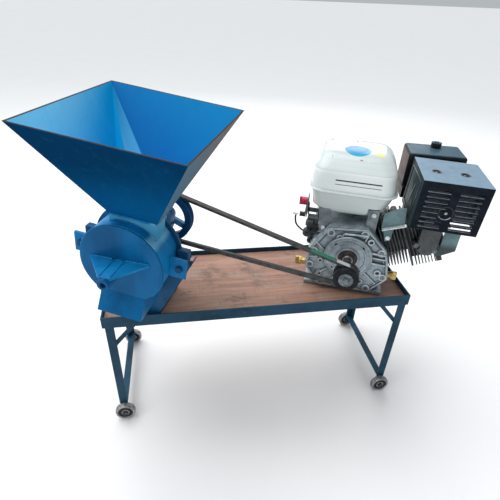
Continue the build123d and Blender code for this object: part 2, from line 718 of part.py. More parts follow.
def oil_plugs():
    """Filler plugs, one each side of the base."""
    plugs = []
    for side in (-1, 1):
        neck = rod_x(8, *sorted((side * 96, side * 112)), 32, -50)
        grip = rod_x(11, *sorted((side * 112, side * 117)), 32, -50)
        wing = block(sorted((side * 117, side * 127)), (29.5, 34.5), (-61, -39))
        case = slab_y(CASE_OUTLINE, 0, 60)
        plugs.append(neck + grip + wing - case)
    return ENGINE_PLACE * group(plugs)


def crankshaft():
    """Output shaft, two full webs and the crank pin, which hangs down at rest."""
    shaft = rod_y(SHAFT_RADIUS, -88, 30) + rod_y(12, 30, 52) + rod_y(12, 74, 160)
    webs = rod_y(40, 44, 54) + rod_y(40, 70, 80)
    pin = rod_y(12, 53, 71, 0, -CRANK_THROW)
    return ENGINE_PLACE * (shaft + webs + pin)


def flywheel():
    """Cast flywheel with cooling blades on its back."""
    wheel_body = tube_y(88, 12, 146, 158) + tube_y(88, 74, 158, 172) + tube_y(24, 12, 134, 158)
    for turn in range(0, 360, 30):
        wheel_body += Rot(0, turn, 0) * block((52, 86), (172, 190), (-1.5, 1.5))
        wheel_body += Rot(0, turn, 0) * block((74, 86), (158, 173), (-1.5, 1.5))
    return ENGINE_PLACE * wheel_body


def fan_cover():
    """Pressed housing round the flywheel."""
    cup = rod_y(FAN_RADIUS, CRANKCASE_BACK, FAN_END) - rod_y(FAN_RADIUS - 2, CRANKCASE_BACK - 1, FAN_END - 2)
    return ENGINE_PLACE * (cup - rod_y(78, FAN_END - 5, FAN_END + 1))


def recoil_cover():
    """Starter housing with cooling slots and the cord's outlet."""
    back = RECOIL_BACK
    inside = turned_y([(0, FAN_END), (88, FAN_END), (82, back - 15.5), (59, back - 2), (0, back - 2)])
    dome = turned_y([(0, FAN_END), (90, FAN_END), (84, back - 14), (60, back), (0, back)])
    dome += block((70, 98), (GRIP_Y - 12, GRIP_Y + 12), (20, 42))
    dome -= inside
    dome -= block((60, 110), (GRIP_Y - 9, GRIP_Y + 9), (23, 39))
    for turn in range(0, 360, 30):
        dome -= Rot(0, turn, 0) * block((34, 56), (back - 10, back + 5), (-5, 5))
    return ENGINE_PLACE * dome


def starter_grip():
    """T handle of the recoil starter."""
    x, z = GRIP_PLACE
    return ENGINE_PLACE * (rod_y(9, GRIP_Y - 22, GRIP_Y + 22, x, z) + rod_x(5, x - 16, x, GRIP_Y, z))


def fin_row(start, pitch, count, y, b):
    """Row of thin fins square to the cylinder's axis."""
    fins = block((start, start + FIN), y, b)
    for step in range(1, count):
        fins += block((start + pitch * step, start + pitch * step + FIN), y, b)
    return fins


def cylinder():
    """Finned barrel, leaning up to the right, with the joint flange of its head."""
    width = (CYLINDER_Y - 46, CYLINDER_Y + 46)
    barrel = rod_x(40, 84, GASKET[1], CYLINDER_Y) + fin_row(86, 7.1, 7, width, (-55, 50))
    barrel += block(GASKET, width, (-67, 52))
    barrel -= rod_x(34, 80, GASKET[1] + 5, CYLINDER_Y)
    shape = CYLINDER_LEAN * barrel - slab_y(CASE_OUTLINE, 0, CRANKCASE_BACK)
    return ENGINE_PLACE * group(shape.solids().sort_by(SortBy.VOLUME)[-1:])


def cylinder_head():
    """Head with its cooling fins and end plate, and the valve cover on its end."""
    width = (CYLINDER_Y - 46, CYLINDER_Y + 46)
    head = block((GASKET[1], HEAD_END - 12), (CYLINDER_Y - 38, CYLINDER_Y + 38), (-46, 46))
    head += fin_row(147, 7.0, 7, width, (-66, 46))
    head += block((HEAD_END - 12, HEAD_END), (width[0], width[1] + 8), (-66, 46))
    cover = block((HEAD_END, HEAD_END + 14), (CYLINDER_Y - 34, CYLINDER_Y + 34), (-58, 40))
    return ENGINE_PLACE * CYLINDER_LEAN * group([head, fillet(cover.edges().group_by(Axis.X)[-1], 5)])


def spark_plug():
    """Plug with its rubber cap, behind the valve cover."""
    y, b = CYLINDER_Y + 46, -30
    plug = rod_x(7, HEAD_END, HEAD_END + 10, y, b)
    cap = rod_x(9, HEAD_END + 10, HEAD_END + 36, y, b)
    return ENGINE_PLACE * CYLINDER_LEAN * (plug + cap)


def muffler():
    """Pressed can over the exhaust elbow and its bolted flange."""
    can = block((12, GUARD_WIDTH - 12), (14, GUARD_DEPTH - 14), (-92, -12))
    elbow = block((146, 188), (-4, 15.4), (64, 140)) + rod_y(21, -4, 15.4, 167, 64)
    for x, z in ELBOW_BOLTS:
        elbow -= rod_y(7, -5, ELBOW_SEAT, x, z)
    ears = slab_y([(137, 68), (140, 52), (167, 42), (190, 44), (197, 54), (195, 68)], ELBOW_SEAT, 15.4)
    return ENGINE_PLACE * (GUARD_TURN * fillet(can.edges(), 16) + elbow + ears)


def muffler_guard():
    """Louvred box, open at the back and below."""
    wall = 1.5
    guard = block((0, GUARD_WIDTH), (0, GUARD_DEPTH), (-GUARD_HEIGHT, 0))
    guard -= block((wall, GUARD_WIDTH - wall), (wall, GUARD_DEPTH + 1), (-GUARD_HEIGHT - 1, -wall))
    for row in range(LOUVRE_ROWS):
        z = -18 - LOUVRE_PITCH * row
        for x in LOUVRE_COLUMNS:
            guard -= block((x, x + LOUVRE_LENGTH), (-1, 2), (z - 2, z + 2))
    for x in (36, 95):
        guard -= rod_z(7, -3, 1, x, 60)
    return ENGINE_PLACE * GUARD_TURN * guard


def air_cleaner():
    """Filter housing, its cover and the knob on top."""
    turn = Pos(163, 178.5, 0) * Rot(0, 0, 5)
    base = block((-64, 64), (-42, 42), (118, 148))
    cover = block((-66, 66), (-44, 44), (148, CLEANER_TOP))
    cover = fillet(cover.edges().filter_by(Axis.Z) + cover.edges().group_by(Axis.Z)[-1], 8)
    knob = rod_z(11, CLEANER_TOP, CLEANER_TOP + 12, 4, 18) + rod_z(6, CLEANER_TOP + 12, CLEANER_TOP + 14, 4, 18)
    return ENGINE_PLACE * turn * group([base, cover, knob])


def carburettor():
    """Body between the head and the air filter, with its float bowl."""
    body = block((120, 158), (108.5, 165), (72, 112)) + rod_z(16, 50, 72, 140, 148)
    inlet = rod_z(13, 112, 118, 140, 150)
    return ENGINE_PLACE * (body + inlet)


THROTTLE_PIVOT = (-118.0, 90.0, 72.0)
CHOKE_PIVOT = (138.0, 165.4, 96.0)
SWITCH_PIVOT = (-118.0, 82.0, 96.0)
GRIP_PLACE = (112.0, 31.0)
GRIP_Y = 224.0


def throttle_lever():
    """Flat lever on the control plate, with a round end."""
    x, y, z = THROTTLE_PIVOT
    arm = block((x - 3, x), (y - 34, y), (z - 4, z + 4)) + rod_x(8, x - 3, x, y, z)
    return ENGINE_PLACE * (arm + rod_x(6, x - 14, x, y - 34, z))


def choke_lever():
    """Flat lever pointing out to the right."""
    x, y, z = CHOKE_PIVOT
    arm = block((x, x + 32), (y, y + 3), (z - 4, z + 4)) + rod_y(7, y, y + 3, x, z)
    return ENGINE_PLACE * (arm + rod_y(6, y, y + 10, x + 34, z))


def engine_switch():
    """Red turning knob of the ignition switch."""
    x, y, z = SWITCH_PIVOT
    knob = rod_x(10, x - 14, x, y, z)
    return ENGINE_PLACE * (knob + block((x - 20, x - 14), (y - 3, y + 3), (z - 10, z + 10)))


def cylinder_shroud():
    """Sheet-metal air guides, tank stays and the switch plate."""
    case = slab_y(CASE_OUTLINE, 0, CRANKCASE_BACK)
    tank = tank_shell(TANK_LEVELS) - tank_pocket()
    panel = slab_y([(62, 88), (62, 124), (94, 144), (106, 144), (110, 106), (66, 88)], 13, 15)
    panel += slab_y([(64, 87), (113, 105.5), (113, 102.5), (64, 84)], 3, 15)
    panel += slab_y([(66, 89), (90, 97), (88, 58), (76, 54)], 13, 15)
    right = slab_y([(198, 56), (198, 108), (232, 108), (232, 56), (200, 36), (192, 36), (192, 44)], 12, 14)
    right += block((192, 200), (12, 16), (36, 44))
    left_stay = slab_y([(-78, 50), (-56, 60), (-60, 112), (-86, 112)], 26, 32) - case - tank
    right_stay = slab_y([(28, 66), (52, 60), (52, 124), (28, 124)], 22.2, STAY_BACK) - case
    right_stay += rod_y(5, 18, 23, 41, 113)
    switch_x = SWITCH_PIVOT[0] + 0.4
    plate = slab_x([(64, 60), (100, 60), (100, 112), (64, 112)], switch_x, switch_x + 2.6)
    plate += block((switch_x + 2.6, -60), (97, 100), (60, 72)) - case
    return ENGINE_PLACE * group([panel, right, left_stay, right_stay, plate])


STAY_BACK = 28.0
TANK_FLANGE_Z = 160.0
CAP_PLACE = (-50.0, 150.0)
CAP_SEAT = 224.0
TANK_LEVELS = [
    # height, left, right, front, back, corner radius
    (100.0, -88.0, 36.0, 36.0, 166.0, 24.0),
    (116.0, -104.0, 62.0, 22.0, 180.0, 28.0),
    (TANK_FLANGE_Z - 2, -110.0, 80.0, 15.0, 188.0, 32.0),
]
TANK_UPPER = [
    (TANK_FLANGE_Z + 2, -112.0, 80.0, 15.0, 188.0, 30.0),
    (205.0, -111.0, 75.0, 20.0, 182.0, 30.0),
    (213.0, -105.0, 72.0, 27.0, 179.0, 30.0),
    (230.0, -99.0, 62.0, 46.0, 170.0, 30.0),
    (240.0, -86.0, 46.0, 74.0, 158.0, 28.0),
]


def rounded_level(level, inset=0.0):
    """Rounded rectangle at one height of the tank."""
    height, left, right, front, back, corner = level
    width = right - left - 2 * inset
    depth = back - front - 2 * inset
    middle = ((left + right) / 2, (front + back) / 2, height)
    return Pos(*middle) * RectangleRounded(width, depth, corner - inset)


def tank_shell(levels, inset=0.0):
    return loft([rounded_level(level, inset) for level in levels], ruled=True)


def tank_pocket(margin=0.0):
    """Notch in the lower shell round the right-hand stay."""
    return block((26 - margin, 54 + margin), (0, STAY_BACK + margin), (90 - margin, 126 + margin))


def fuel_tank():
    """Two pressed shells joined at a flange, hollow inside, with a filler neck."""
    lower = tank_shell(TANK_LEVELS) - tank_pocket()
    height, left, right, front, back, corner = TANK_UPPER[0]
    lip = (TANK_FLANGE_Z - 2, left - 4, right + 5, front - 5, back + 5, corner + 5)
    flange = extrude(rounded_level(lip), 4)
    inner_levels = [(104.0,) + TANK_LEVELS[0][1:], *TANK_LEVELS[1:], *TANK_UPPER[:2]]
    hollow = tank_shell(inner_levels, 3) - tank_pocket(3)
    x, y = CAP_PLACE
    neck = rod_z(24, 200, CAP_SEAT, x, y)
    pocket = rod_z(31, CAP_SEAT, 250, x, y)
    return ENGINE_PLACE * (lower + tank_shell(TANK_UPPER) + flange + neck - hollow - pocket)


def fuel_cap():
    x, y = CAP_PLACE
    cap = rod_z(28, CAP_SEAT + 0.3, CAP_SEAT + 14, x, y)
    for turn in range(0, 360, 30):
        cap -= Pos(x, y, CAP_SEAT + 10) * Rot(0, 0, turn) * Pos(29.5, 0, 0) * Cylinder(3, 40)
    return ENGINE_PLACE * cap


# ------------------------------------------------------------------ assembly
def build_nodes():
    nodes = {
        "deck_board": deck_board(), "rim_rails": rim_rails(), "legs": legs(), "crossbars": crossbars(),
        "leg_braces": leg_braces(), "wheel_axles": wheel_axles(),
        "mill_stand": mill_stand(), "mill_bolts": mill_bolts(), "back_plate": back_plate(),
        "drum_shell": drum_shell(), "front_disc": front_disc(), "bearing_tube": bearing_tube(),
        "hub_gusset": hub_gusset(), "screen": screen(), "discharge_chute": discharge_chute(),
        "hopper_throat": hopper_throat(), "bearing_housing": bearing_housing(),
        "ball_bearings": ball_bearings(), "rotor_shaft": rotor_shaft(), "rotor_discs": rotor_discs(),
        "hammer_pins": hammer_pins(), "mill_pulley": mill_pulley(), "v_belt": v_belt(),
        "engine_pulley": engine_pulley(), "pulley_bolt": pulley_bolt(), "side_cover": side_cover(),
        "crankcase": crankcase(), "engine_bolts": engine_bolts(), "oil_plugs": oil_plugs(),
        "crankshaft": crankshaft(), "flywheel": flywheel(), "fan_cover": fan_cover(),
        "recoil_cover": recoil_cover(), "starter_grip": starter_grip(), "cylinder": cylinder(),
        "cylinder_head": cylinder_head(), "spark_plug": spark_plug(), "muffler": muffler(),
        "muffler_guard": muffler_guard(), "air_cleaner": air_cleaner(), "carburettor": carburettor(),
        "throttle_lever": throttle_lever(), "choke_lever": choke_lever(),
        "engine_switch": engine_switch(), "cylinder_shroud": cylinder_shroud(),
        "fuel_tank": fuel_tank(), "fuel_cap": fuel_cap(),
    }
    nodes.update(hopper_plates())
    for name, sx, sz in pin_places():
        nodes["hammers_" + name] = hammer_row(sx, sz)
    for sx, sy in corners():
        name = "wheel_" + ("front" if sy < 0 else "rear") + ("_left" if sx < 0 else "_right")
        nodes[name] = wheel(sx, sy)
    return nodes


NODES = build_nodes()
WHOLE = Compound(children=[Compound(shape.solids()) for shape in NODES.values()]).bounding_box()
# The origin is the middle of the footprint, on the floor.
TO_ORIGIN = Pos(-(WHOLE.min.X + WHOLE.max.X) / 2, -(WHOLE.min.Y + WHOLE.max.Y) / 2, -WHOLE.min.Z)

os.makedirs("parts", exist_ok=True)
for node_name, node_shape in NODES.items():
    export_step(TO_ORIGIN * node_shape, f"parts/{node_name}.step")
print(len(NODES), "nodes,", WHOLE.size)
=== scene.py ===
"""The looks of the hammer mill: materials, lights, camera and the detailed pieces round its CAD frame.
Sizes and places in the axes of the mill, the casing and the engine are millimetres."""

import json
import math
import random

import bmesh
import bpy
from mathutils import Matrix, Vector


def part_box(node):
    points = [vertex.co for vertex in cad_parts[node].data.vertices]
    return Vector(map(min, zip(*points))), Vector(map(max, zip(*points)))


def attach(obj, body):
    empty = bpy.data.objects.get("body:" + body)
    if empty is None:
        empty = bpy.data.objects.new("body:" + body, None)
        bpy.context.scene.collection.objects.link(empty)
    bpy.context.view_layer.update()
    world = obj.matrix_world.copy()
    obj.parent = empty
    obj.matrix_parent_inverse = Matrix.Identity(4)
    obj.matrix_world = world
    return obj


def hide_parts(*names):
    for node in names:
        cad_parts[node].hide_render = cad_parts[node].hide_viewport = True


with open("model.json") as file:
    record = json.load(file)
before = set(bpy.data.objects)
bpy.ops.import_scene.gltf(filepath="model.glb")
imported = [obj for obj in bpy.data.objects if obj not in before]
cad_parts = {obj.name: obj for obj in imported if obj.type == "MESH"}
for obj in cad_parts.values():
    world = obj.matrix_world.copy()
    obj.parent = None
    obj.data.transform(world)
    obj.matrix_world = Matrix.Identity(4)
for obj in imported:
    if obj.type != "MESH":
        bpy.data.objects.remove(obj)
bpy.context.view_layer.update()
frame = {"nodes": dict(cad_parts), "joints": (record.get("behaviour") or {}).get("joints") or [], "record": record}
NODES = frame["nodes"]
JOINTS = {joint["name"]: joint for joint in frame["joints"]}
MM = 0.001
UP = Vector((0, 0, 1))

# ---- Local axes of the two machines, worked out from the joints ----
BELT_PLACE = -71.0         # Y of the belt's middle in the mill's axes
ENGINE_FACE = 5.5          # Y of the engine's front face in the mill's axes
CASING_ROLL = 6.5          # degrees of the drum and hopper about the shaft
SAME_POINT = 0.02          # corners nearer than this are one


def machine_axes(joint, belt_offset):
    """Matrix from a machine's millimetres to the shared frame: X right, Y back along the shaft, Z up."""
    back = Vector(JOINTS[joint]["axis"]).normalized()
    right = back.cross(UP)
    origin = Vector(JOINTS[joint]["pos_m"]) - back * belt_offset * MM
    matrix = Matrix((right, back, UP)).transposed().to_4x4()
    return Matrix.Translation(origin) @ matrix @ Matrix.Scale(MM, 4)


MILL = machine_axes("rotor_spin", BELT_PLACE)
CASING = MILL @ Matrix.Rotation(math.radians(CASING_ROLL), 4, "Y")
ENGINE = machine_axes("crank_spin", BELT_PLACE - ENGINE_FACE)


# ---- Colours ----
PAINT_DUST = (0.03, 0.26, 0.42)
PAINT_CHIP = (0.05, 0.045, 0.04)
DEEP_BLUE = (0.002, 0.080, 0.215)
LIGHT_BLUE = (0.004, 0.135, 0.34)
DRUM_DEEP = (0.003, 0.14, 0.35)
DRUM_LIGHT = (0.008, 0.23, 0.52)
# Painted highlight on the drum's upper right shoulder
DRUM_HIGHLIGHT_PALE = (0.22, 0.55, 0.72)
# Painted reflection of the sky: pale at the top of the hopper's left sheet inside, fading to azure
SKY_REFLECTION_PALE = (0.25, 0.72, 0.95)
AZURE = (0.004, 0.38, 0.72)
# Inside the back and right sheets: painted shade, darker towards the throat
INNER_BLUE = (0.006, 0.22, 0.47)
INNER_BLUE_SHADED = (0.001, 0.15, 0.41)
# Painted sheen of a fold in the hopper's back left corner, paler lower down
FACET_SHEEN_TOP = (0.02, 0.27, 0.52)
FACET_SHEEN_LOW = (0.12, 0.46, 0.70)
# Painted shade on the hopper's outer sheets: navy where unlit, a lighter blue low on the front sheet where the
# floor's light reaches
OUTER_SHADE_NAVY = (0.002, 0.034, 0.095)
OUTER_LIT_LOW = (0.002, 0.085, 0.235)
# Painted reflection of the brown ground on the right sheet's outside, greyer lower down
OUTER_BROWN_REFLECTION = (0.24, 0.19, 0.165)
OUTER_GREY_REFLECTION = (0.09, 0.19, 0.27)
RIM_EDGE = (0.055, 0.045, 0.04)

# ---- The hopper's corners, in the casing's millimetres ----
MOUTH_HEIGHT = 284.0
MOUTH_FRONT = -391.0
LEFT_TOP = (-112, MOUTH_FRONT, MOUTH_HEIGHT)
BACK_CORNER = (-112, -97, MOUTH_HEIGHT)
RIGHT_BACK = (157, -97, MOUTH_HEIGHT)
NECK_LEFT, NECK_RIGHT = (-33, -264, 96), (62, -264, 96)
WEDGE_FOOT = (20, -190, 150)

# Radii between which the pulley's spokes are a lighter blue
SPOKE_START = 20
SPOKE_END = 49


# ---- Material nodes ----
class Shader:
    """A material's node tree, with short calls for the nodes that the materials share."""

    def __init__(self, name, roughness=0.5, metallic=0.0, specular=0.5):
        self.material = bpy.data.materials.new(name)
        self.material.use_nodes = True
        self.tree = self.material.node_tree
        self.bsdf = self.tree.nodes["Principled BSDF"]
        self.bsdf.inputs["Roughness"].default_value = roughness
        self.bsdf.inputs["Metallic"].default_value = metallic
        self.bsdf.inputs["Specular IOR Level"].default_value = specular
        self.place = self.node("ShaderNodeTexCoord").outputs["Object"]

    def node(self, kind, inputs=None, **settings):
        """New node with its settings, and with its inputs joined or set."""
        made = self.tree.nodes.new(kind)
        for key, value in settings.items():
            setattr(made, key, value)
        for key, source in (inputs or {}).items():
            self.link(source, made.inputs[key])
        return made

    def link(self, source, target):
        """Joins an output to a socket, or sets the socket's own value."""
        if isinstance(source, bpy.types.NodeSocket):
            self.tree.links.new(source, target)
        elif target.type == "RGBA":
            target.default_value = (*source, 1.0)
        else:
            target.default_value = source

    def stretched(self, scale):
        """The object's coordinates, scaled apart along X, Y and Z."""
        return self.node("ShaderNodeMapping", {"Vector": self.place, "Scale": scale}).outputs["Vector"]

    def noise(self, scale, detail=4.0, roughness=0.55, place=None, distortion=0.0):
        settings = {"Vector": place or self.place, "Scale": scale, "Detail": detail, "Roughness": roughness,
                    "Distortion": distortion}
        return self.node("ShaderNodeTexNoise", settings).outputs["Fac"]

    def ramp(self, source, low, high, low_value=0.0, high_value=1.0):
        """Maps source from low..high to low_value..high_value, smoothly and clamped."""
        settings = {"Value": source, "From Min": low, "From Max": high, "To Min": low_value,
                    "To Max": high_value}
        return self.node("ShaderNodeMapRange", settings, interpolation_type="SMOOTHSTEP").outputs["Result"]

    def maths(self, operation, first, second):
        return self.node("ShaderNodeMath", {0: first, 1: second}, operation=operation).outputs[0]

    def times(self, first, second):
        return self.maths("MULTIPLY", first, second)

    def mix(self, share, first, second):
        """Colour between first and second."""
        settings = {"Factor": share, "A": first, "B": second}
        return self.node("ShaderNodeMix", settings, data_type="RGBA").outputs["Result"]

    def dot(self, source, direction):
        made = self.node("ShaderNodeVectorMath", {0: source, 1: direction}, operation="DOT_PRODUCT")
        return made.outputs["Value"]

    def along(self, direction):
        """Distance along a direction, in metres."""
        return self.dot(self.place, direction)

    def facing(self, direction):
        """How far the true surface faces a fixed direction, -1 to 1."""
        return self.dot(self.node("ShaderNodeNewGeometry").outputs["True Normal"], direction)

    def openness(self, reach):
        """1 on open surfaces, less in corners and crevices within reach, in metres."""
        return self.node("ShaderNodeAmbientOcclusion", {"Distance": reach}, samples=8).outputs["AO"]

    def local(self, place, axis):
        """A coordinate in a machine's own millimetres: 0 right, 1 back, 2 up."""
        row = place.inverted()[axis]
        return self.maths("ADD", self.along(row.xyz), row.w)

    def between(self, place, start, end):
        """0 at the start point to 1 at the end point, both in a machine's millimetres."""
        first, last = place @ Vector(start), place @ Vector(end)
        run = (last - first) / (last - first).length_squared
        return self.ramp(self.maths("SUBTRACT", self.along(run), first.dot(run)), 0.0, 1.0)

    def square_sum(self, values):
        first, second = (self.times(value, value) for value in values)
        return self.maths("ADD", first, second)

    def ellipse(self, place, centre, radii, soft=0.12):
        """1 inside an upright elliptic column, 0 outside. Its centre and radii run right and back."""
        shares = [self.maths("DIVIDE", self.maths("SUBTRACT", self.local(place, axis), middle), radius)
                  for axis, (middle, radius) in enumerate(zip(centre, radii))]
        return self.ramp(self.square_sum(shares), 1.0 - soft, 1.0 + soft, 1.0, 0.0)

    def band(self, value, low, high, soft):
        """1 while value is between low and high, 0 outside."""
        rise = self.ramp(value, low - soft, low + soft)
        fall = self.ramp(value, high - soft, high + soft, 1, 0)
        return self.times(rise, fall)

    def bump(self, height, distance, strength):
        """Adds relief on top of the material's earlier bumps."""
        normal = self.bsdf.inputs["Normal"]
        settings = {"Strength": strength, "Distance": distance, "Height": height}
        if normal.links:
            settings["Normal"] = normal.links[0].from_socket
        self.link(self.node("ShaderNodeBump", settings).outputs["Normal"], normal)

    def two_tone(self, cloud, dark, light):
        """Dark to light as a noise grows."""
        return self.mix(self.ramp(cloud, 0.35, 0.68), dark, light)

    def colour(self, source):
        self.link(source, self.bsdf.inputs["Base Color"])

    def rough(self, cloud, low, high, start=0.3, end=0.7):
        """Roughness from low to high as a noise grows from start to end."""
        self.link(self.ramp(cloud, start, end, low, high), self.bsdf.inputs["Roughness"])

    def coat(self, weight, roughness):
        self.bsdf.inputs["Coat Weight"].default_value = weight
        self.bsdf.inputs["Coat Roughness"].default_value = roughness


def two_blues(deep, light):
    """Shade for blue_paint: streaks from one blue to another."""
    return lambda shader, streaks: shader.mix(streaks, deep, light)


def blue_paint(name, shade, wear=0.35, coat=0.03, specular=0.08):
    """Glossy brushed-on machine paint: streaks, dust, small chips and a light orange peel.
    The shade gives the colour from the shader and its streaks."""
    shader = Shader(name, specular=specular)
    streaks = shader.noise(9, 5, 0.6, shader.stretched((1.6, 1.6, 0.5)))
    colour = shade(shader, shader.ramp(streaks, 0.32, 0.7))
    dust = shader.noise(60, 6, 0.7)
    dusty = shader.times(shader.ramp(dust, 0.52, 0.78), wear * 0.5)
    colour = shader.mix(dusty, colour, PAINT_DUST)
    chips = shader.ramp(shader.noise(240, 3, 0.6), 0.735, 0.76)
    colour = shader.mix(shader.times(chips, wear), colour, PAINT_CHIP)
    shader.colour(colour)
    shader.rough(dust, 0.26, 0.48, 0.3, 0.75)
    shader.coat(coat, 0.12)
    shader.bump(shader.noise(320, 2, 0.5), 0.0004, 0.25)
    shader.bump(streaks, 0.002, 0.22)
    return shader.material


def frame_paint():
    """Dark teal paint on angle iron, rubbed pale along its length in places."""
    shader = Shader("frame_paint_dark", specular=0.15)
    broad = shader.noise(7, 4, 0.6)
    colour = shader.mix(shader.ramp(broad, 0.35, 0.65), (0.008, 0.036, 0.064), (0.016, 0.066, 0.115))
    paler = shader.noise(26, 6, 0.72, shader.stretched((0.5, 1.6, 1.6)))
    colour = shader.mix(shader.ramp(paler, 0.60, 0.74, 0, 0.5), colour, (0.09, 0.14, 0.17))
    rust = shader.ramp(shader.noise(90, 5, 0.7), 0.68, 0.76, 0, 0.7)
    colour = shader.mix(rust, colour, (0.09, 0.045, 0.025))
    shader.colour(colour)
    shader.rough(paler, 0.34, 0.62)
    shader.bump(shader.noise(210, 4, 0.6), 0.0006, 0.35)
    return shader.material


def plywood():
    """Worn reddish plywood with long grain, cross scratches, dark stains and grey dust."""
    shader = Shader("plywood_top", 0.62, specular=0.2)
    grain = shader.noise(26, 7, 0.68, shader.stretched((0.22, 2.6, 2.6)), 0.4)
    fine = shader.noise(150, 5, 0.7, shader.stretched((0.12, 2.2, 2.2)))
    colour = shader.mix(shader.ramp(grain, 0.3, 0.68), (0.235, 0.125, 0.090), (0.375, 0.215, 0.155))
    colour = shader.mix(shader.ramp(fine, 0.5, 0.72, 0, 0.4), colour, (0.40, 0.27, 0.215))
    across = shader.noise(120, 5, 0.7, shader.stretched((2.4, 0.16, 2.4)))
    colour = shader.mix(shader.ramp(across, 0.5, 0.74, 0, 0.45), colour, (0.15, 0.09, 0.07))
    blots = shader.ramp(shader.noise(13, 5, 0.68), 0.52, 0.66)
    spatter = shader.ramp(shader.noise(90, 5, 0.75, shader.stretched((0.5, 1.4, 1.0))), 0.36, 0.58)
    stains = shader.times(blots, spatter)
    colour = shader.mix(shader.times(stains, 0.7), colour, (0.085, 0.066, 0.056))
    patches = shader.noise(11, 5, 0.62)
    dust = shader.times(shader.ramp(patches, 0.47, 0.66), shader.ramp(fine, 0.38, 0.62))
    colour = shader.mix(shader.times(dust, 0.75), colour, (0.30, 0.245, 0.215))
    dark = shader.ramp(shader.noise(34, 5, 0.66), 0.62, 0.74, 0, 0.35)
    colour = shader.mix(dark, colour, (0.09, 0.05, 0.035))
    shader.colour(colour)
    shader.rough(patches, 0.42, 0.7, 0.35, 0.65)
    shader.bump(fine, 0.0010, 0.35)
    return shader.material


def bare_metal(name, dark, light, roughness=(0.25, 0.5), metallic=1.0, scale=120):
    """Bare or zinc-plated metal with cloudy tone and fine scuffs."""
    shader = Shader(name, metallic=metallic)
    cloud = shader.noise(scale, 5, 0.62)
    shader.colour(shader.two_tone(cloud, dark, light))
    shader.rough(cloud, roughness[1], roughness[0])
    shader.bump(shader.noise(scale * 5, 3, 0.6), 0.0003, 0.25)
    return shader.material


def cast_metal(name, dark, light, metallic=0.55, grime=0.6):
    """Sand-cast aluminium: fine grain, grey-blue tone, grime in patches, and painted shade darkening the crevices.
    """
    shader = Shader(name, metallic=metallic)
    cloud = shader.noise(55, 6, 0.66)
    colour = shader.mix(shader.ramp(cloud, 0.34, 0.66), dark, light)
    dirt = shader.ramp(shader.noise(38, 5, 0.7), 0.52, 0.72, 0, grime)
    grime_and_shade_tone = tuple(channel * 0.35 for channel in dark)
    colour = shader.mix(dirt, colour, grime_and_shade_tone)
    # Painted shade: darker in the crevices that ambient occlusion finds
    colour = shader.mix(shader.ramp(shader.openness(0.014), 0.45, 0.92, 0.85, 0.0), colour, grime_and_shade_tone)
    shader.colour(colour)
    shader.rough(cloud, 0.38, 0.6)
    shader.bump(shader.noise(700, 4, 0.7), 0.0005, 0.5)
    shader.bump(cloud, 0.0010, 0.3)
    return shader.material


def plain_finish(name, dark, light, roughness=(0.35, 0.55), scale=90, coat=0.0, specular=0.3):
    """Moulded plastic, enamel or rubber: two close tones, even gloss and a fine surface."""
    shader = Shader(name, specular=specular)
    cloud = shader.noise(scale, 5, 0.6)
    shader.colour(shader.two_tone(cloud, dark, light))
    shader.rough(cloud, *roughness)
    shader.bump(shader.noise(scale * 8, 2, 0.5), 0.0003, 0.2)
    if coat:
        shader.coat(coat, 0.06)
    return shader.material


def folded_corner_sheen(shader, colour):
    """Painted sheen of a fold: a pale wedge on the back sheet, which runs down from the hopper's back left corner.
    Next to the corner the sheet is azure.
    """
    across = shader.maths("SUBTRACT", shader.local(CASING, 0), BACK_CORNER[0])
    down = shader.maths("SUBTRACT", MOUTH_HEIGHT + 0.5, shader.local(CASING, 2))
    slope = shader.maths("DIVIDE", across, down)
    wedge = shader.mix(shader.between(CASING, BACK_CORNER, WEDGE_FOOT), FACET_SHEEN_TOP, FACET_SHEEN_LOW)
    colour = shader.mix(shader.ramp(slope, 0.93, 0.98, 1, 0), colour, wedge)
    return shader.mix(shader.ramp(slope, 0.61, 0.63, 1, 0), colour, AZURE)


def hopper_shade(inside, outside, with_fold_sheen):
    """Shade for blue_paint: one gradient inside, another outside, and a bare worn edge along the rim.
    The gradients are painted light and shade on the sheets. A gradient is (first colour, last colour, first place,
    last place)."""
    def shade(shader, streaks):
        sides = []
        for first, last, start, end in (outside, inside):
            waver = shader.times(shader.maths("SUBTRACT", streaks, 0.5), 0.16)
            share = shader.maths("ADD", shader.between(CASING, start, end), waver)
            sides.append(shader.mix(share, first, last))
        if with_fold_sheen:
            sides[1] = folded_corner_sheen(shader, sides[1])
        colour = shader.mix(shader.ramp(shader.facing((0, 0, 1)), -0.02, 0.02), *sides)
        rim = shader.ramp(shader.local(CASING, 2), MOUTH_HEIGHT - 0.9, MOUTH_HEIGHT - 0.5)
        return shader.mix(rim, colour, RIM_EDGE)
    return shade


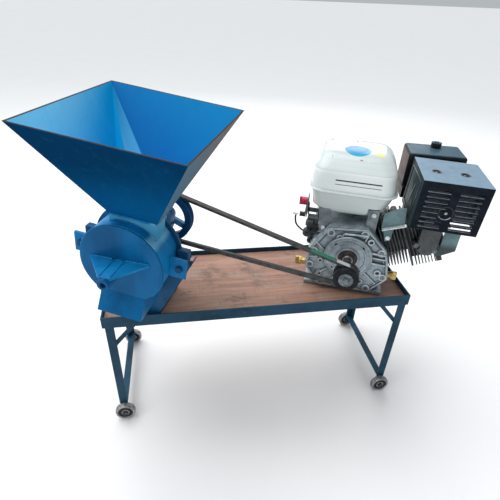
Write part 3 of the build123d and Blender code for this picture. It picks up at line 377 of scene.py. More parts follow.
def hopper_paints():
    """Finish of each hopper sheet, with painted light and shade in its gradients. The front and right sheets have
    no gloss.
    """
    shadow = (OUTER_SHADE_NAVY, OUTER_SHADE_NAVY, LEFT_TOP, NECK_LEFT)
    sheets = (
        # sheet, gradient inside, gradient outside, coat, specular
        # Left sheet inside: painted sky reflection, pale at the top, azure lower down
        ("left", (SKY_REFLECTION_PALE, AZURE, (-112, -330, MOUTH_HEIGHT), (-60, -190, 170)), shadow, 0.04, 0.10),
        ("back", (INNER_BLUE, INNER_BLUE_SHADED, RIGHT_BACK, WEDGE_FOOT), shadow, 0.04, 0.08),
        # Corner sheet inside: the same painted sheen as the fold on the back sheet
        ("corner", (FACET_SHEEN_TOP, FACET_SHEEN_LOW, BACK_CORNER, WEDGE_FOOT), shadow, 0.04, 0.10),
        # Right sheet outside: painted ground reflection, brown at the top and grey lower down
        ("right", (INNER_BLUE, INNER_BLUE_SHADED, RIGHT_BACK, NECK_RIGHT),
         (OUTER_BROWN_REFLECTION, OUTER_GREY_REFLECTION, RIGHT_BACK, (66, -264, 110)), 0.0, 0.0),
        # Front sheet outside: painted shade, navy above and a lighter blue below
        ("front", (AZURE, AZURE, LEFT_TOP, NECK_LEFT),
         (OUTER_SHADE_NAVY, OUTER_LIT_LOW, (0, MOUTH_FRONT, 250), (60, -264, 96)), 0.0, 0.0),
    )
    wear = 0.22
    paints = {}
    for sheet, inside, outside, coat, specular in sheets:
        shade = hopper_shade(inside, outside, sheet == "back")
        paints[f"hopper_{sheet}_plate"] = blue_paint(f"hopper_{sheet}_paint", shade, wear, coat, specular)
    return paints


def tank_paint():
    """White enamel, greyer below the flange, with a plain blue oval, a yellow spot and two pinstripes. Painted
    shade darkens its top and its crevices.
    """
    shader = Shader("tank_white_enamel", 0.2, specular=0.3)
    cloud = shader.noise(14, 4, 0.5)
    colour = shader.mix(shader.ramp(cloud, 0.35, 0.7), (0.80, 0.86, 0.85), (0.86, 0.90, 0.90))
    height = shader.local(ENGINE, 2)
    back = shader.local(ENGINE, 1)
    right = shader.local(ENGINE, 0)
    colour = shader.mix(shader.ramp(height, 157, 160, 1, 0), colour, (0.66, 0.73, 0.71))
    # Painted shade: the top of the tank is darker than its sides
    top_painted_shade = shader.ramp(shader.facing((0, 0, 1)), 0.3, 0.9)
    colour = shader.mix(top_painted_shade, colour, (0.50, 0.555, 0.55))
    # Painted shade: darker in the crevices that ambient occlusion finds
    colour = shader.mix(shader.ramp(shader.openness(0.012), 0.5, 0.95, 0.6, 0.0), colour, (0.24, 0.28, 0.27))
    above = shader.ramp(height, 214, 216)
    front = shader.times(above, shader.ramp(back, 118, 122, 1, 0))
    oval = ((-19, 83), (29.5, 27.5))
    stickers = [(*oval, (0.0, 0.12, 0.32)), ((31, 71), (9.5, 9), (0.80, 0.62, 0.14)),
                ((-8.5, 46), (3.4, 1.7), (0.45, 0.10, 0.20)), ((-21, 47), (1.5, 1.2), (0.80, 0.55, 0.62)),
                ((6, 45), (1.6, 1.2), (0.80, 0.60, 0.66)), ((-73, 49), (0.9, 4.5), (0.35, 0.30, 0.32))]
    for centre, radii, tone in stickers:
        mask = shader.times(shader.ellipse(ENGINE, centre, radii), front)
        colour = shader.mix(mask, colour, tone)
    low = shader.ellipse(ENGINE, *oval)
    high = shader.ellipse(ENGINE, (-23, 92), (28, 25), soft=0.2)
    below = shader.times(low, shader.maths("SUBTRACT", 1.0, high))
    crescent = shader.times(below, front)
    colour = shader.mix(crescent, colour, (0.008, 0.33, 0.50))
    inner = shader.times(shader.ellipse(ENGINE, (-22, 86), (21, 17), soft=0.5), front)
    colour = shader.mix(shader.times(inner, 0.7), colour, (0.0, 0.23, 0.50))
    face = shader.times(shader.band(right, -58, 44, 0.5), shader.ramp(back, 22, 24, 1, 0))
    for low_edge, high_edge in ((186.5, 189.5), (178.0, 179.4)):
        stripe = shader.times(shader.band(height, low_edge, high_edge, 0.2), face)
        colour = shader.mix(stripe, colour, (0.02, 0.022, 0.025))
    shader.colour(colour)
    shader.rough(cloud, 0.16, 0.26)
    shader.coat(0.15, 0.08)
    shader.bump(shader.noise(130, 2, 0.5), 0.0003, 0.08)
    return shader.material


def enamel_with_dust_and_sheen(name, dark, light, top, left):
    """Black enamel or plastic whose top is pale with dust and painted sky sheen, and whose engine-left side
    carries a painted reflection of its own tone.
    """
    shader = Shader(name, specular=0.06)
    cloud = shader.noise(50, 5, 0.6)
    colour = shader.two_tone(cloud, dark, light)
    # Dust and painted sky sheen on the faces that look up
    up = shader.ramp(shader.facing((0, 0, 1)), 0.75, 0.93)
    dust_and_sheen = shader.times(up, shader.ramp(cloud, 0.25, 0.6, 0.82, 1.0))
    colour = shader.mix(dust_and_sheen, colour, top)
    # Painted reflection on the engine-left side: its own tone, brown on the air cleaner
    side = ENGINE.to_3x3() @ Vector((-1, 0, 0))
    colour = shader.mix(shader.ramp(shader.facing(side.normalized()), 0.8, 0.95), colour, left)
    shader.colour(colour)
    shader.rough(cloud, 0.28, 0.42)
    shader.coat(0.02, 0.12)
    shader.bump(shader.noise(600, 2, 0.5), 0.0003, 0.25)
    return shader.material


def drum_shade(shader, streaks):
    """Azure, with a pale painted highlight on the drum's upper right shoulder."""
    colour = shader.mix(streaks, DRUM_DEEP, DRUM_LIGHT)
    right = shader.band(shader.local(CASING, 0), 50, 68, 4)
    shoulder = shader.times(right, shader.ramp(shader.local(CASING, 2), 20, 50))
    # Painted highlight: the shoulder is paler, in streaks
    paler = shader.times(shoulder, shader.ramp(streaks, 0.0, 0.9, 0.5, 0.9))
    return shader.mix(paler, colour, DRUM_HIGHLIGHT_PALE)


def belt_paint():
    """Worn rubber: paler rubbed sides, and a green printed stripe on part of the upper run."""
    shader = Shader("belt_rubber_worn", 0.62)
    cloud = shader.noise(70, 5, 0.65)
    colour = shader.two_tone(cloud, (0.010, 0.010, 0.011), (0.032, 0.031, 0.031))
    side = (ENGINE.to_3x3() @ Vector((0, -1, 0))).normalized()
    exposed = shader.ramp(shader.facing(side), 0.7, 0.95, 0, 0.75)
    paler = shader.times(exposed, shader.ramp(cloud, 0.3, 0.62))
    colour = shader.mix(paler, colour, (0.085, 0.083, 0.08))
    right = shader.local(ENGINE, 0)
    upper_run = shader.ramp(shader.local(ENGINE, 2), 12, 16)
    top = shader.times(shader.ramp(shader.facing((0, 0, 1)), 0.6, 0.8), upper_run)
    stripe = shader.times(shader.band(right, -86, -28, 2), top)
    colour = shader.mix(stripe, colour, (0.01, 0.13, 0.075))
    bright = shader.times(shader.band(right, -26, 4, 3), top)
    colour = shader.mix(bright, colour, (0.36, 0.38, 0.38))
    shader.colour(colour)
    shader.rough(cloud, 0.5, 0.75)
    shader.bump(cloud, 0.0004, 0.3)
    return shader.material


def pulley_shade(shader, streaks):
    """Navy, with the spokes a lighter blue."""
    distance = shader.square_sum([shader.local(MILL, axis) for axis in (0, 2)])
    spoke = shader.band(distance, SPOKE_START ** 2, SPOKE_END ** 2, 60)
    colour = shader.mix(streaks, (0.004, 0.03, 0.10), (0.008, 0.07, 0.19))
    paler = shader.times(spoke, shader.ramp(streaks, 0.1, 0.8, 0.45, 1.0))
    return shader.mix(paler, colour, (0.10, 0.30, 0.52))


def shroud_paint():
    """Teal-grey enamel on the shroud's sheets, and bare casting grey on the stays under the tank."""
    shader = Shader("shroud_teal_enamel", specular=0.3)
    cloud = shader.noise(40, 5, 0.6)
    teal = shader.two_tone(cloud, (0.105, 0.185, 0.205), (0.18, 0.28, 0.30))
    grey = shader.two_tone(cloud, (0.13, 0.16, 0.175), (0.27, 0.31, 0.33))
    colour = shader.mix(shader.ramp(shader.local(ENGINE, 0), 57, 60), grey, teal)
    scuffs = shader.ramp(shader.noise(170, 5, 0.7), 0.6, 0.72, 0, 0.5)
    # Darker to the right and low down
    darker_low_right = shader.times(shader.ramp(shader.local(ENGINE, 0), 186, 190),
                         shader.ramp(shader.local(ENGINE, 2), 58, 74, 0.85, 0.0))
    colour = shader.mix(darker_low_right, colour, (0.035, 0.042, 0.046))
    shader.colour(shader.mix(scuffs, colour, (0.04, 0.06, 0.065)))
    shader.rough(cloud, 0.3, 0.5)
    shader.bump(shader.noise(320, 2, 0.5), 0.0003, 0.2)
    return shader.material


MATERIALS = {
    "mill_blue": blue_paint("mill_blue_paint", two_blues(DEEP_BLUE, LIGHT_BLUE)),
    "frame_paint": frame_paint(),
    "plywood": plywood(),
    "wheel_steel": bare_metal("wheel_steel_worn", (0.13, 0.13, 0.135), (0.34, 0.345, 0.35), (0.4, 0.65), 0.7),
    "bright_steel": bare_metal("zinc_steel", (0.32, 0.31, 0.29), (0.62, 0.61, 0.58)),
    "pulley_paint": blue_paint("pulley_navy_paint", pulley_shade, 0.5),
    "black_iron": plain_finish("black_oxide_iron", (0.006, 0.007, 0.009), (0.020, 0.023, 0.028), (0.35, 0.5),
                               120, specular=0.12),
    "belt_rubber": belt_paint(),
    "cast_aluminium": cast_metal("cast_aluminium_grey", (0.25, 0.31, 0.345), (0.46, 0.53, 0.57)),
    "finned_casting": cast_metal("finned_casting_dark", (0.028, 0.031, 0.035), (0.085, 0.092, 0.100)),
    "cast_flywheel": cast_metal("cast_flywheel_grey", (0.16, 0.18, 0.20), (0.30, 0.33, 0.36)),
    "black_cover": plain_finish("black_enamel", (0.006, 0.007, 0.010), (0.016, 0.019, 0.026), (0.28, 0.42),
                                60, 0.35),
    "exhaust_steel": bare_metal("exhaust_steel_brown", (0.05, 0.045, 0.04), (0.13, 0.12, 0.11), (0.5, 0.7),
                                0.7),
    "shroud_paint": shroud_paint(),
    "tank_paint": tank_paint(),
    "black_plastic": plain_finish("black_plastic_moulded", (0.010, 0.010, 0.012), (0.024, 0.024, 0.027)),
    "red_plastic": plain_finish("red_plastic_gloss", (0.42, 0.01, 0.05), (0.55, 0.03, 0.09), (0.25, 0.4)),
    "yellow_plastic": bare_metal("brass_plug", (0.38, 0.26, 0.07), (0.74, 0.55, 0.19), (0.25, 0.45), 0.6,
                                 260),
    "carburettor_zinc": bare_metal("zinc_casting", (0.30, 0.30, 0.28), (0.50, 0.50, 0.48), (0.35, 0.55)),
}

# Finishes of single nodes and of pieces that CAD's slots don't tell apart
SEAL_RUBBER = plain_finish("seal_rubber_brown", (0.034, 0.024, 0.022), (0.070, 0.054, 0.050), (0.4, 0.6))
LIGHT_EDGE = bare_metal("rubbed_black_edge", (0.16, 0.18, 0.21), (0.34, 0.37, 0.41), (0.3, 0.45), 0.6)
EDGE_STEEL = bare_metal("pale_sheet_edge", (0.55, 0.60, 0.60), (0.80, 0.84, 0.84), (0.25, 0.4), 0.5)
COIL_RESIN = plain_finish("coil_resin_dark", (0.035, 0.038, 0.042), (0.12, 0.13, 0.14), (0.45, 0.65))
# Their tops carry dust and painted sky sheen, their engine-left sides a painted reflection
GUARD_ENAMEL = enamel_with_dust_and_sheen("guard_enamel", (0.005, 0.008, 0.014), (0.011, 0.016, 0.026),
                                (0.180, 0.262, 0.340), (0.020, 0.036, 0.040))
CLEANER_PLASTIC = enamel_with_dust_and_sheen("air_cleaner_plastic", (0.008, 0.009, 0.012), (0.018, 0.02, 0.026),
                                   (0.050, 0.095, 0.130), (0.075, 0.046, 0.038))
WHEEL_RIM = bare_metal("wheel_rim_rubbed", (0.22, 0.22, 0.22), (0.46, 0.46, 0.455), (0.35, 0.55), 0.7)
# Painted shade of the recessed groove between a wheel's hub and rim
WHEEL_GROOVE_SHADE = plain_finish("wheel_ring_dark", (0.012, 0.012, 0.013), (0.04, 0.04, 0.042), (0.5, 0.7), 150,
                            specular=0.15)
# Painted highlight: the cover's ribs and bosses take a paler copy of the casting, where light catches them
RIB_CASTING_HIGHLIT = cast_metal("cast_rib_highlight", (0.36, 0.43, 0.47), (0.64, 0.72, 0.76), 0.5, 0.25)
HEAD_CASTING = cast_metal("elbow_casting_warm", (0.045, 0.049, 0.053), (0.095, 0.102, 0.108), 0.5, 0.4)
DRUM_BLUE = blue_paint("drum_azure_paint", drum_shade)
# Painted highlight: the throat's blues are raised pale, as on its lit right face
THROAT_LIT_BLUE = blue_paint("throat_highlight_paint", two_blues((0.05, 0.27, 0.47), (0.11, 0.40, 0.62)))
STAND_BLUE = blue_paint("stand_navy_paint", two_blues((0.007, 0.054, 0.13), (0.012, 0.10, 0.225)), 0.5)
DARK_STEEL = bare_metal("oiled_steel", (0.035, 0.035, 0.04), (0.10, 0.10, 0.105), (0.4, 0.6), 0.6)
BLUED_STEEL = bare_metal("dull_bolt_steel", (0.09, 0.11, 0.12), (0.21, 0.24, 0.26), (0.35, 0.55), 0.6)
CAP_WHITE = plain_finish("cap_white_enamel", (0.70, 0.74, 0.74), (0.80, 0.83, 0.82), (0.2, 0.3), 20, 0.3)
NODE_FINISHES = {**hopper_paints(), "muffler_guard": GUARD_ENAMEL, "air_cleaner": CLEANER_PLASTIC,
                 "muffler": HEAD_CASTING, "drum_shell": DRUM_BLUE, "hub_gusset": DRUM_BLUE,
                 "hopper_throat": THROAT_LIT_BLUE, "mill_stand": STAND_BLUE, "back_plate": STAND_BLUE,
                 "bearing_housing": STAND_BLUE, "mill_bolts": STAND_BLUE, "pulley_bolt": BLUED_STEEL,
                 "wheel_axles": DARK_STEEL, "crankshaft": DARK_STEEL, "engine_bolts": BLUED_STEEL,
                 "fuel_cap": CAP_WHITE, "spark_plug": MATERIALS["bright_steel"]}

# Width of the rounding that each plain node's edges get
ROUNDED = {"muffler_guard": 2.2, "air_cleaner": 1.0, "deck_board": 1.0, "rim_rails": 0.8, "legs": 0.8,
           "crossbars": 0.7, "leg_braces": 0.6, "mill_stand": 0.8, "side_cover": 0.9, "crankcase": 1.0,
           "front_disc": 0.8, "bearing_tube": 0.8, "hub_gusset": 0.8, "discharge_chute": 0.7,
           "back_plate": 0.8, "hopper_throat": 0.5, "engine_pulley": 0.6, "mill_pulley": 0.8,
           "cylinder_shroud": 0.4, "bearing_housing": 0.8, "recoil_cover": 0.8, "fan_cover": 0.8,
           "carburettor": 1.0}


def dress_nodes():
    """Gives each CAD node its material, and rounds the edges of the plain ones."""
    for part in frame["record"]["subparts"]:
        name = part["node"]
        node = NODES[name]
        node.data.materials.clear()
        node.data.materials.append(NODE_FINISHES.get(name) or MATERIALS[part["material_slot"]])
        if name in ROUNDED:
            weld = node.modifiers.new("weld", "WELD")
            weld.merge_threshold = SAME_POINT * MM
            edge = node.modifiers.new("edges", "BEVEL")
            edge.width = ROUNDED[name] * MM
            edge.segments = 2
            edge.limit_method = "ANGLE"
            edge.angle_limit = math.radians(40)


# ---- Mesh building, in a machine's millimetres ----
def prism(mesh, outline, low, high, axis="y"):
    """Closed prism of an outline in the two other axes, between two places on one axis."""
    order = {"x": (2, 0, 1), "y": (0, 2, 1), "z": (0, 1, 2)}[axis]
    rings = []
    for place in (low, high):
        corners = [(a, b, place) for a, b in outline]
        rings.append([tuple(corner[i] for i in order) for corner in corners])
    skin(mesh, rings)


def skin(mesh, rings, closed=True):
    """Faces between rings of points, and over the first and last ring if closed."""
    rows = [[mesh.verts.new(point) for point in ring] for ring in rings]
    if closed:
        mesh.faces.new(rows[0])
        mesh.faces.new(rows[-1])
    for low, high in zip(rows, rows[1:]):
        for i in range(len(low)):
            j = (i + 1) % len(low)
            mesh.faces.new((low[i], low[j], high[j], high[i]))


def box(mesh, x, y, z):
    prism(mesh, [(x[0], z[0]), (x[1], z[0]), (x[1], z[1]), (x[0], z[1])], *y)


def strip(mesh, start, end, width, low, high, axis="y"):
    """Straight bar between two points of the plane across the axis."""
    a, b = Vector(start), Vector(end)
    side = Vector((-(b - a).y, (b - a).x)).normalized() * width / 2
    prism(mesh, [tuple(a - side), tuple(b - side), tuple(b + side), tuple(a + side)], low, high, axis)


def circle(radius, x, y, steps):
    turns = [math.tau * step / steps for step in range(steps)]
    return [(x + radius * math.cos(turn), y + radius * math.sin(turn)) for turn in turns]


def turned(mesh, profile, x=0.0, z=0.0, steps=40, start=0.0, sweep=360.0):
    """Ring or arc of a closed (radius, y) profile, turned about an axis along Y."""
    full = sweep >= 360.0
    count = steps if full else steps + 1
    rings = []
    for step in range(count):
        turn = math.radians(start + sweep * step / steps)
        rings.append([mesh.verts.new((x + radius * math.cos(turn), y, z + radius * math.sin(turn)))
                      for radius, y in profile])
    for i in range(steps):
        here, there = rings[i], rings[(i + 1) % count]
        for k in range(len(profile)):
            n = (k + 1) % len(profile)
            mesh.faces.new((here[k], here[n], there[n], there[k]))
    if not full:
        mesh.faces.new(rings[0])
        mesh.faces.new(rings[-1])


def pin(mesh, radius, low, high, x, z):
    """Round boss along Y with a small chamfer at its front, the low end."""
    chamfer = 0.6
    profile = [(0.01, low), (radius - chamfer, low), (radius, low + chamfer), (radius, high), (0.01, high)]
    turned(mesh, profile, x, z, 16)


def hexagon(flats, turn):
    corner = flats / 2 / math.cos(math.radians(30))
    return [(corner * math.cos(math.radians(turn + 60 * i)), corner * math.sin(math.radians(turn + 60 * i)))
            for i in range(6)]


def built(name, build, place):
    """New object from a build function, put in the shared frame."""
    mesh = bmesh.new()
    build(mesh)
    bmesh.ops.remove_doubles(mesh, verts=mesh.verts, dist=SAME_POINT)
    bmesh.ops.recalc_face_normals(mesh, faces=mesh.faces)
    mesh.transform(place)
    data = bpy.data.meshes.new(name)
    mesh.to_mesh(data)
    mesh.free()
    made = bpy.data.objects.new(name, data)
    bpy.context.scene.collection.objects.link(made)
    return made


def piece(name, build, place, finish, body="bench", replaces=(), bevel=0.0):
    """New detailed piece with its finish, riding on its body."""
    made = built(name, build, place)
    made.data.materials.append(finish)
    soften(made, bevel)
    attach(made, body)
    if replaces:
        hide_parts(*replaces)
    return made


def soften(made, bevel, smooth=30.0):
    """Rounds the hard edges and shades the rest smooth."""
    made.data.shade_smooth()
    made.data.set_sharp_from_angle(angle=math.radians(smooth))
    if bevel:
        edge = made.modifiers.new("edges", "BEVEL")
        edge.width = bevel * MM
        edge.segments = 2
        edge.limit_method = "ANGLE"
        edge.angle_limit = math.radians(28)


def wire(name, points, radius, place, finish, lumps=0.0):
    """Round lead or weld bead along a smooth line. Lumps swell and thin it like a hand-laid weld."""
    curve = bpy.data.curves.new(name, "CURVE")
    curve.dimensions = "3D"
    curve.bevel_depth = radius * MM
    curve.bevel_resolution = 3
    curve.use_fill_caps = True
    spline = curve.splines.new("POLY")
    line = smooth_line([Vector(point) for point in points], 8)
    spline.points.add(len(line) - 1)
    chance = random.Random(name)
    for point, target in zip(spline.points, line):
        point.co = (*(place @ target), 1.0)
        point.radius = 1.0 + lumps * chance.uniform(-1, 1)
    made = bpy.data.objects.new(name, curve)
    bpy.context.scene.collection.objects.link(made)
    curve.materials.append(finish)
    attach(made, "bench")


def smooth_line(points, steps):
    """Points on a Catmull-Rom curve through the given ones."""
    ends = [points[0] * 2 - points[1], *points, points[-1] * 2 - points[-2]]
    line = []
    for a, b, c, d in zip(ends, ends[1:], ends[2:], ends[3:]):
        for step in range(steps):
            t = step / steps
            line.append(0.5 * (2 * b + (c - a) * t + (2 * a - 5 * b + 4 * c - d) * t ** 2
                               + (3 * b - a - 3 * c + d) * t ** 3))
    return line + [points[-1]]


# ---- Engine: front casting ----
CASE = [(-56, 72), (36, 82), (86, 32), (96, 0), (104, -48), (66, -94), (-66, -94), (-101, -42), (-95, 6)]
COVER_SKIN = 8.4           # depth at which the cover's details end inside it
COVER_BOLTS = [(-48, 60), (30, 68), (76, 24), (91, -44), (58, -83), (-56, -84), (-88, -38), (-82, 4)]


def inset(outline, margin):
    """The outline pulled in towards its middle by about the margin."""
    middle = Vector((0.0, -8.0))
    pulled = []
    for corner in outline:
        away = Vector(corner) - middle
        pulled.append(tuple(middle + away * (1 - margin / away.length)))
    return pulled


def cover_rim(mesh):
    """Raised lip round the casting, and a second thin line inside it."""
    for outer, inner, front in ((1.0, 6.0, 4.6), (9.5, 12.0, 6.0)):
        out, into = inset(CASE, outer), inset(CASE, inner)
        for i in range(len(CASE)):
            j = (i + 1) % len(CASE)
            prism(mesh, [out[i], out[j], into[j], into[i]], front, COVER_SKIN)


def cover_bosses(mesh):
    for x, z in COVER_BOLTS:
        turned(mesh, [(5.5, 3.4), (9.4, 3.4), (10.6, COVER_SKIN), (5.5, COVER_SKIN)], x, z, 28)
    for x, z, radius, front in ((-26, 50, 9, 2.5), (-40, 27, 7, 4), (47, 50, 9.5, 2.5), (77, -33, 10, 3),
                                (-62, -60, 9, 3), (-22, -68, 7, 4), (40, -66, 8, 3.5), (-64, -22, 8, 4)):
        turned(mesh, [(radius * 0.45, front + 1.5), (radius * 0.5, front), (radius * 0.85, front),
                      (radius, COVER_SKIN), (radius * 0.45, COVER_SKIN)], x, z, 26)


def cover_ribs(mesh):
    """Straight ribs: the long pair above the shaft, three at the right, and the spokes of the casting."""
    strips = [((-17, 63), (38, 66), 4.5, 1.2), ((-10, 47), (30, 49), 4.0, 1.2),
              ((52, 21), (86, 20), 3.6, 1.6), ((54, 9), (88, 8), 3.6, 1.6), ((52, -6), (90, -8), 4.2, 1.6),
              ((-56, 8), (-86, 34), 3.0, 4.0), ((-58, -10), (-93, -16), 3.0, 4.0),
              ((-44, -42), (-72, -66), 3.6, 3.6), ((-20, -58), (-26, -88), 3.6, 3.6),
              ((22, -56), (34, -86), 3.6, 3.6), ((46, -38), (78, -66), 3.6, 3.2),
              ((-17, 63), (-24, 47), 3.2, 2.2), ((38, 66), (32, 48), 3.2, 2.2)]
    for start, end, width, front in strips:
        strip(mesh, start, end, width, front, COVER_SKIN)


def cover_rings(mesh):
    """Raised rings round the shaft, and one arc above it."""
    turned(mesh, [(41, -1.8), (44.5, -1.8), (45, 0.3), (40.5, 0.3)], steps=64)
    turned(mesh, [(54.5, -1.4), (57.2, -1.4), (58, 0.3), (54, 0.3)], steps=64)
    turned(mesh, [(23.5, -3.2), (27, -3.2), (28, 0.3), (23, 0.3)], steps=56)
    turned(mesh, [(49, -0.9), (51, -0.9), (51.5, 0.3), (48.5, 0.3)], steps=30, start=-15, sweep=150)


def seal_ring(mesh):
    turned(mesh, [(10.6, -3.0), (22.6, -3.0), (22.6, 0.4), (10.6, 0.4)], steps=56)
    turned(mesh, [(13.5, -4.2), (15.5, -4.2), (16.0, -2.9), (13.0, -2.9)], steps=56)


def shaft_collar(mesh):
    turned(mesh, [(10.15, -14), (11.6, -14), (12.4, -13.2), (12.4, -4.0), (10.15, -4.0)], steps=40)


def make_cover():
    cast = MATERIALS["cast_aluminium"]
    piece("cover_rim_lines", cover_rim, ENGINE, cast, bevel=0.7)
    piece("cover_bosses", cover_bosses, ENGINE, RIB_CASTING_HIGHLIT, bevel=0.5)
    piece("cover_ribs", cover_ribs, ENGINE, RIB_CASTING_HIGHLIT, bevel=0.9)
    piece("cover_rings", cover_rings, ENGINE, cast, bevel=0.4)
    piece("shaft_seal", seal_ring, ENGINE, SEAL_RUBBER, bevel=0.3)
    piece("shaft_spacer", shaft_collar, ENGINE, MATERIALS["bright_steel"], "crank", bevel=0.3)


# ---- Engine: fuel tank ----
TANK_LEVELS = [
    # height, left, right, front, back, corner radius
    (100, -86, 34, 38, 164, 24),
    (103, -91.5, 41, 33, 168.5, 26),
    (116, -103.5, 61.5, 22.5, 179.5, 28),
    (136, -107, 71, 18.5, 184, 30),
    (157, -109.8, 79.6, 15.3, 187.6, 32),
    (158.2, -115, 84.6, 10.4, 192.6, 34),
    (160, -115.8, 85, 10.1, 193, 34),
    (161.8, -115, 84.6, 10.4, 192.6, 34),
    (163.4, -112.4, 80.4, 14.6, 188.4, 31),
    (184, -111.6, 77.6, 17.2, 185, 30),
    (200, -111.2, 75.6, 19.4, 182.6, 30),
    (206, -110, 75, 21, 182, 30),
    (211, -106.4, 73, 25.2, 179.8, 30),
    (216, -103.8, 70.4, 30, 177.6, 30),
    (226, -100.6, 64.6, 40.8, 172.4, 30),
    (233, -97, 58.6, 51, 167.6, 30),
    (237.6, -91.6, 52.4, 62, 163, 30),
    (239.6, -82, 43, 77, 154, 28),
    (240, -66, 28, 92, 138, 22),
]
STAY_POCKET = ((25, 55), (4, 28), (90, 127))
CAP_PLACE = (-50, 150)
CAP_SEAT = 224             # height of the cap's seat
CAP_SEAT_RADIUS = 30.5
CORNER_STEPS = 7


def rounded_ring(level):
    """Points of a rounded rectangle at one height."""
    height, left, right, front, back, radius = level
    near, far = front + radius, back - radius
    points = []
    for x, y, start in ((right - radius, near, -90), (right - radius, far, 0),
                        (left + radius, far, 90), (left + radius, near, 180)):
        for step in range(CORNER_STEPS + 1):
            turn = math.radians(start + 90 * step / CORNER_STEPS)
            points.append((x + radius * math.cos(turn), y + radius * math.sin(turn), height))
    return points


def tank_body(mesh):
    skin(mesh, [rounded_ring(level) for level in TANK_LEVELS])


def cut(made, build, place):
    """Cuts a closed shape out of a piece, and applies it."""
    cutter = built("cutter", build, place)
    boolean = made.modifiers.new("cut", "BOOLEAN")
    boolean.object = cutter
    boolean.operation = "DIFFERENCE"
    boolean.solver = "EXACT"
    made.modifiers.move(len(made.modifiers) - 1, 0)
    bpy.context.view_layer.update()
    shape = bpy.data.meshes.new_from_object(made.evaluated_get(bpy.context.evaluated_depsgraph_get()))
    made.modifiers.clear()
    made.data = shape
    bpy.data.objects.remove(cutter)


def tank_cuts(mesh):
    """Pocket for the stay, and the flat seat of the cap."""
    box(mesh, *STAY_POCKET)
    above_tank = 250
    prism(mesh, circle(CAP_SEAT_RADIUS, *CAP_PLACE, 40), CAP_SEAT, above_tank, "z")


def make_tank():
    tank = piece("tank_body", tank_body, ENGINE, MATERIALS["tank_paint"],
                 replaces=["fuel_tank"])
    cut(tank, tank_cuts, ENGINE)
    soften(tank, 0.0, 38)


# ---- Engine: muffler guard ----
GUARD = ENGINE @ Matrix.Translation((118, -20, 228)) @ Matrix.Rotation(math.radians(3), 4, "Z") \
    @ Matrix.Rotation(math.radians(1.7), 4, "Y")
LOUVRES = [(14, 60), (78, 124)]
SHORT_LOUVRES = [(14, 46), (81, 124)]
LOUVRE_TOP = -18
LOUVRE_PITCH = 11.6
SCREW_PLACE = (62.5, -66.0)
TOP_HOLES = ((36, 60), (95, 60))


def guard_lips(mesh):
    """Bent lip under each louvre, shorter beside the screw's recess."""
    for row in range(8):
        z = LOUVRE_TOP - LOUVRE_PITCH * row
        for start, end in SHORT_LOUVRES if 4 <= row <= 6 else LOUVRES:
            prism(mesh, [(-0.2, z - 3.3), (-2.4, z - 3.9), (-2.6, z - 4.7), (0.4, z - 4.7)], start, end, "x")


def guard_recess(mesh):
    """Pressed ring round the fixing screw."""
    turned(mesh, [(13.0, 0.3), (13.6, -1.6), (15.6, -1.6), (16.2, 0.3)], *SCREW_PLACE, 44)


def guard_recess_light(mesh):
    """Rubbed bright stretch at the bottom of that ring."""
    turned(mesh, [(13.2, -1.4), (13.8, -2.2), (15.4, -2.2), (16.0, -1.4)], *SCREW_PLACE, 20, 215, 110)


def guard_screw(mesh):
    profile = [(0.01, -3.6), (1.5, -3.5), (2.9, -2.7), (3.5, -0.6), (3.5, 0.2), (0.01, 0.2)]
    turned(mesh, profile, *SCREW_PLACE, 24)


def guard_dimples(mesh):
    """Pressed cups let into the two round holes of the top."""
    profile = ((11.0, 0.1), (10.2, 0.55), (9.2, 0.3), (7.2, 0.2), (6.6, -0.6), (5.6, -4.0), (0.05, -4.4))
    for x, y in TOP_HOLES:
        rings = [[(*point, z) for point in circle(radius, x, y, 32)] for radius, z in profile]
        skin(mesh, rings, closed=False)


def guard_nuts(mesh):
    for x, y in TOP_HOLES:
        prism(mesh, [(x - 1.5 + a, y + b) for a, b in hexagon(5.5, 12)], -4.4, -1.2, "z")


def guard_side_panel(mesh):
    """Shallow pressed frame on the guard's left side, with a groove in it."""
    corners = [(16, -12), (118, -12), (124, -100), (30, -100)]
    for start, end in zip(corners, corners[1:] + corners[:1]):
        strip(mesh, start, end, 3.2, -1.3, 0.3, "x")
    prism(mesh, [(52, -30), (56, -30), (76, -84), (72, -84)], -1.0, 0.3, "x")


def make_guard():
    pressed = MATERIALS["black_cover"]
    steel = MATERIALS["bright_steel"]
    piece("guard_louvre_lips", guard_lips, GUARD, LIGHT_EDGE, bevel=0.25)
    piece("guard_screw_recess", guard_recess, GUARD, pressed, bevel=0.3)
    piece("guard_recess_edge", guard_recess_light, GUARD, LIGHT_EDGE, bevel=0.2)
    piece("guard_screw", guard_screw, GUARD, steel)
    piece("guard_dimples", guard_dimples, GUARD, pressed)
    piece("guard_nuts", guard_nuts, GUARD, steel, bevel=0.3)
    piece("guard_side_frame", guard_side_panel, GUARD, pressed, bevel=0.5)


# ---- Engine: the rest ----
CLEANER = ENGINE @ Matrix.Translation((163, 178.5, 0)) @ Matrix.Rotation(math.radians(5), 4, "Z")


def cleaner_band(mesh):
    """Clip band round the joint of the filter's base and cover."""
    box(mesh, (-66.6, 63.6), (-44.4, 44.2), (146.5, 149.5))


def knob_grips(mesh):
    for place in circle(11, 4, 18, 12):
        prism(mesh, circle(1.3, *place, 8), 232.5, 243.4, "z")


def stay_bolts(mesh):
    """Bright bolt heads on the tank stays and the shroud's leg."""
    for x, z, y in ((41, 113, 16.6), (80.7, 64.7, 9.6), (-70, 60, 22.6)):
        prism(mesh, [(x + a, z + b) for a, b in hexagon(10, 10)], y, y + 3.6)
        pin(mesh, 2.6, y - 1.2, y + 0.4, x, z)


def bright_flange(mesh):
    """Folded bright edge of the shroud over the cylinder."""
    prism(mesh, [(63.5, 87.4), (113.4, 105.9), (113.4, 104.0), (63.5, 85.5)], 2.2, 13.0)


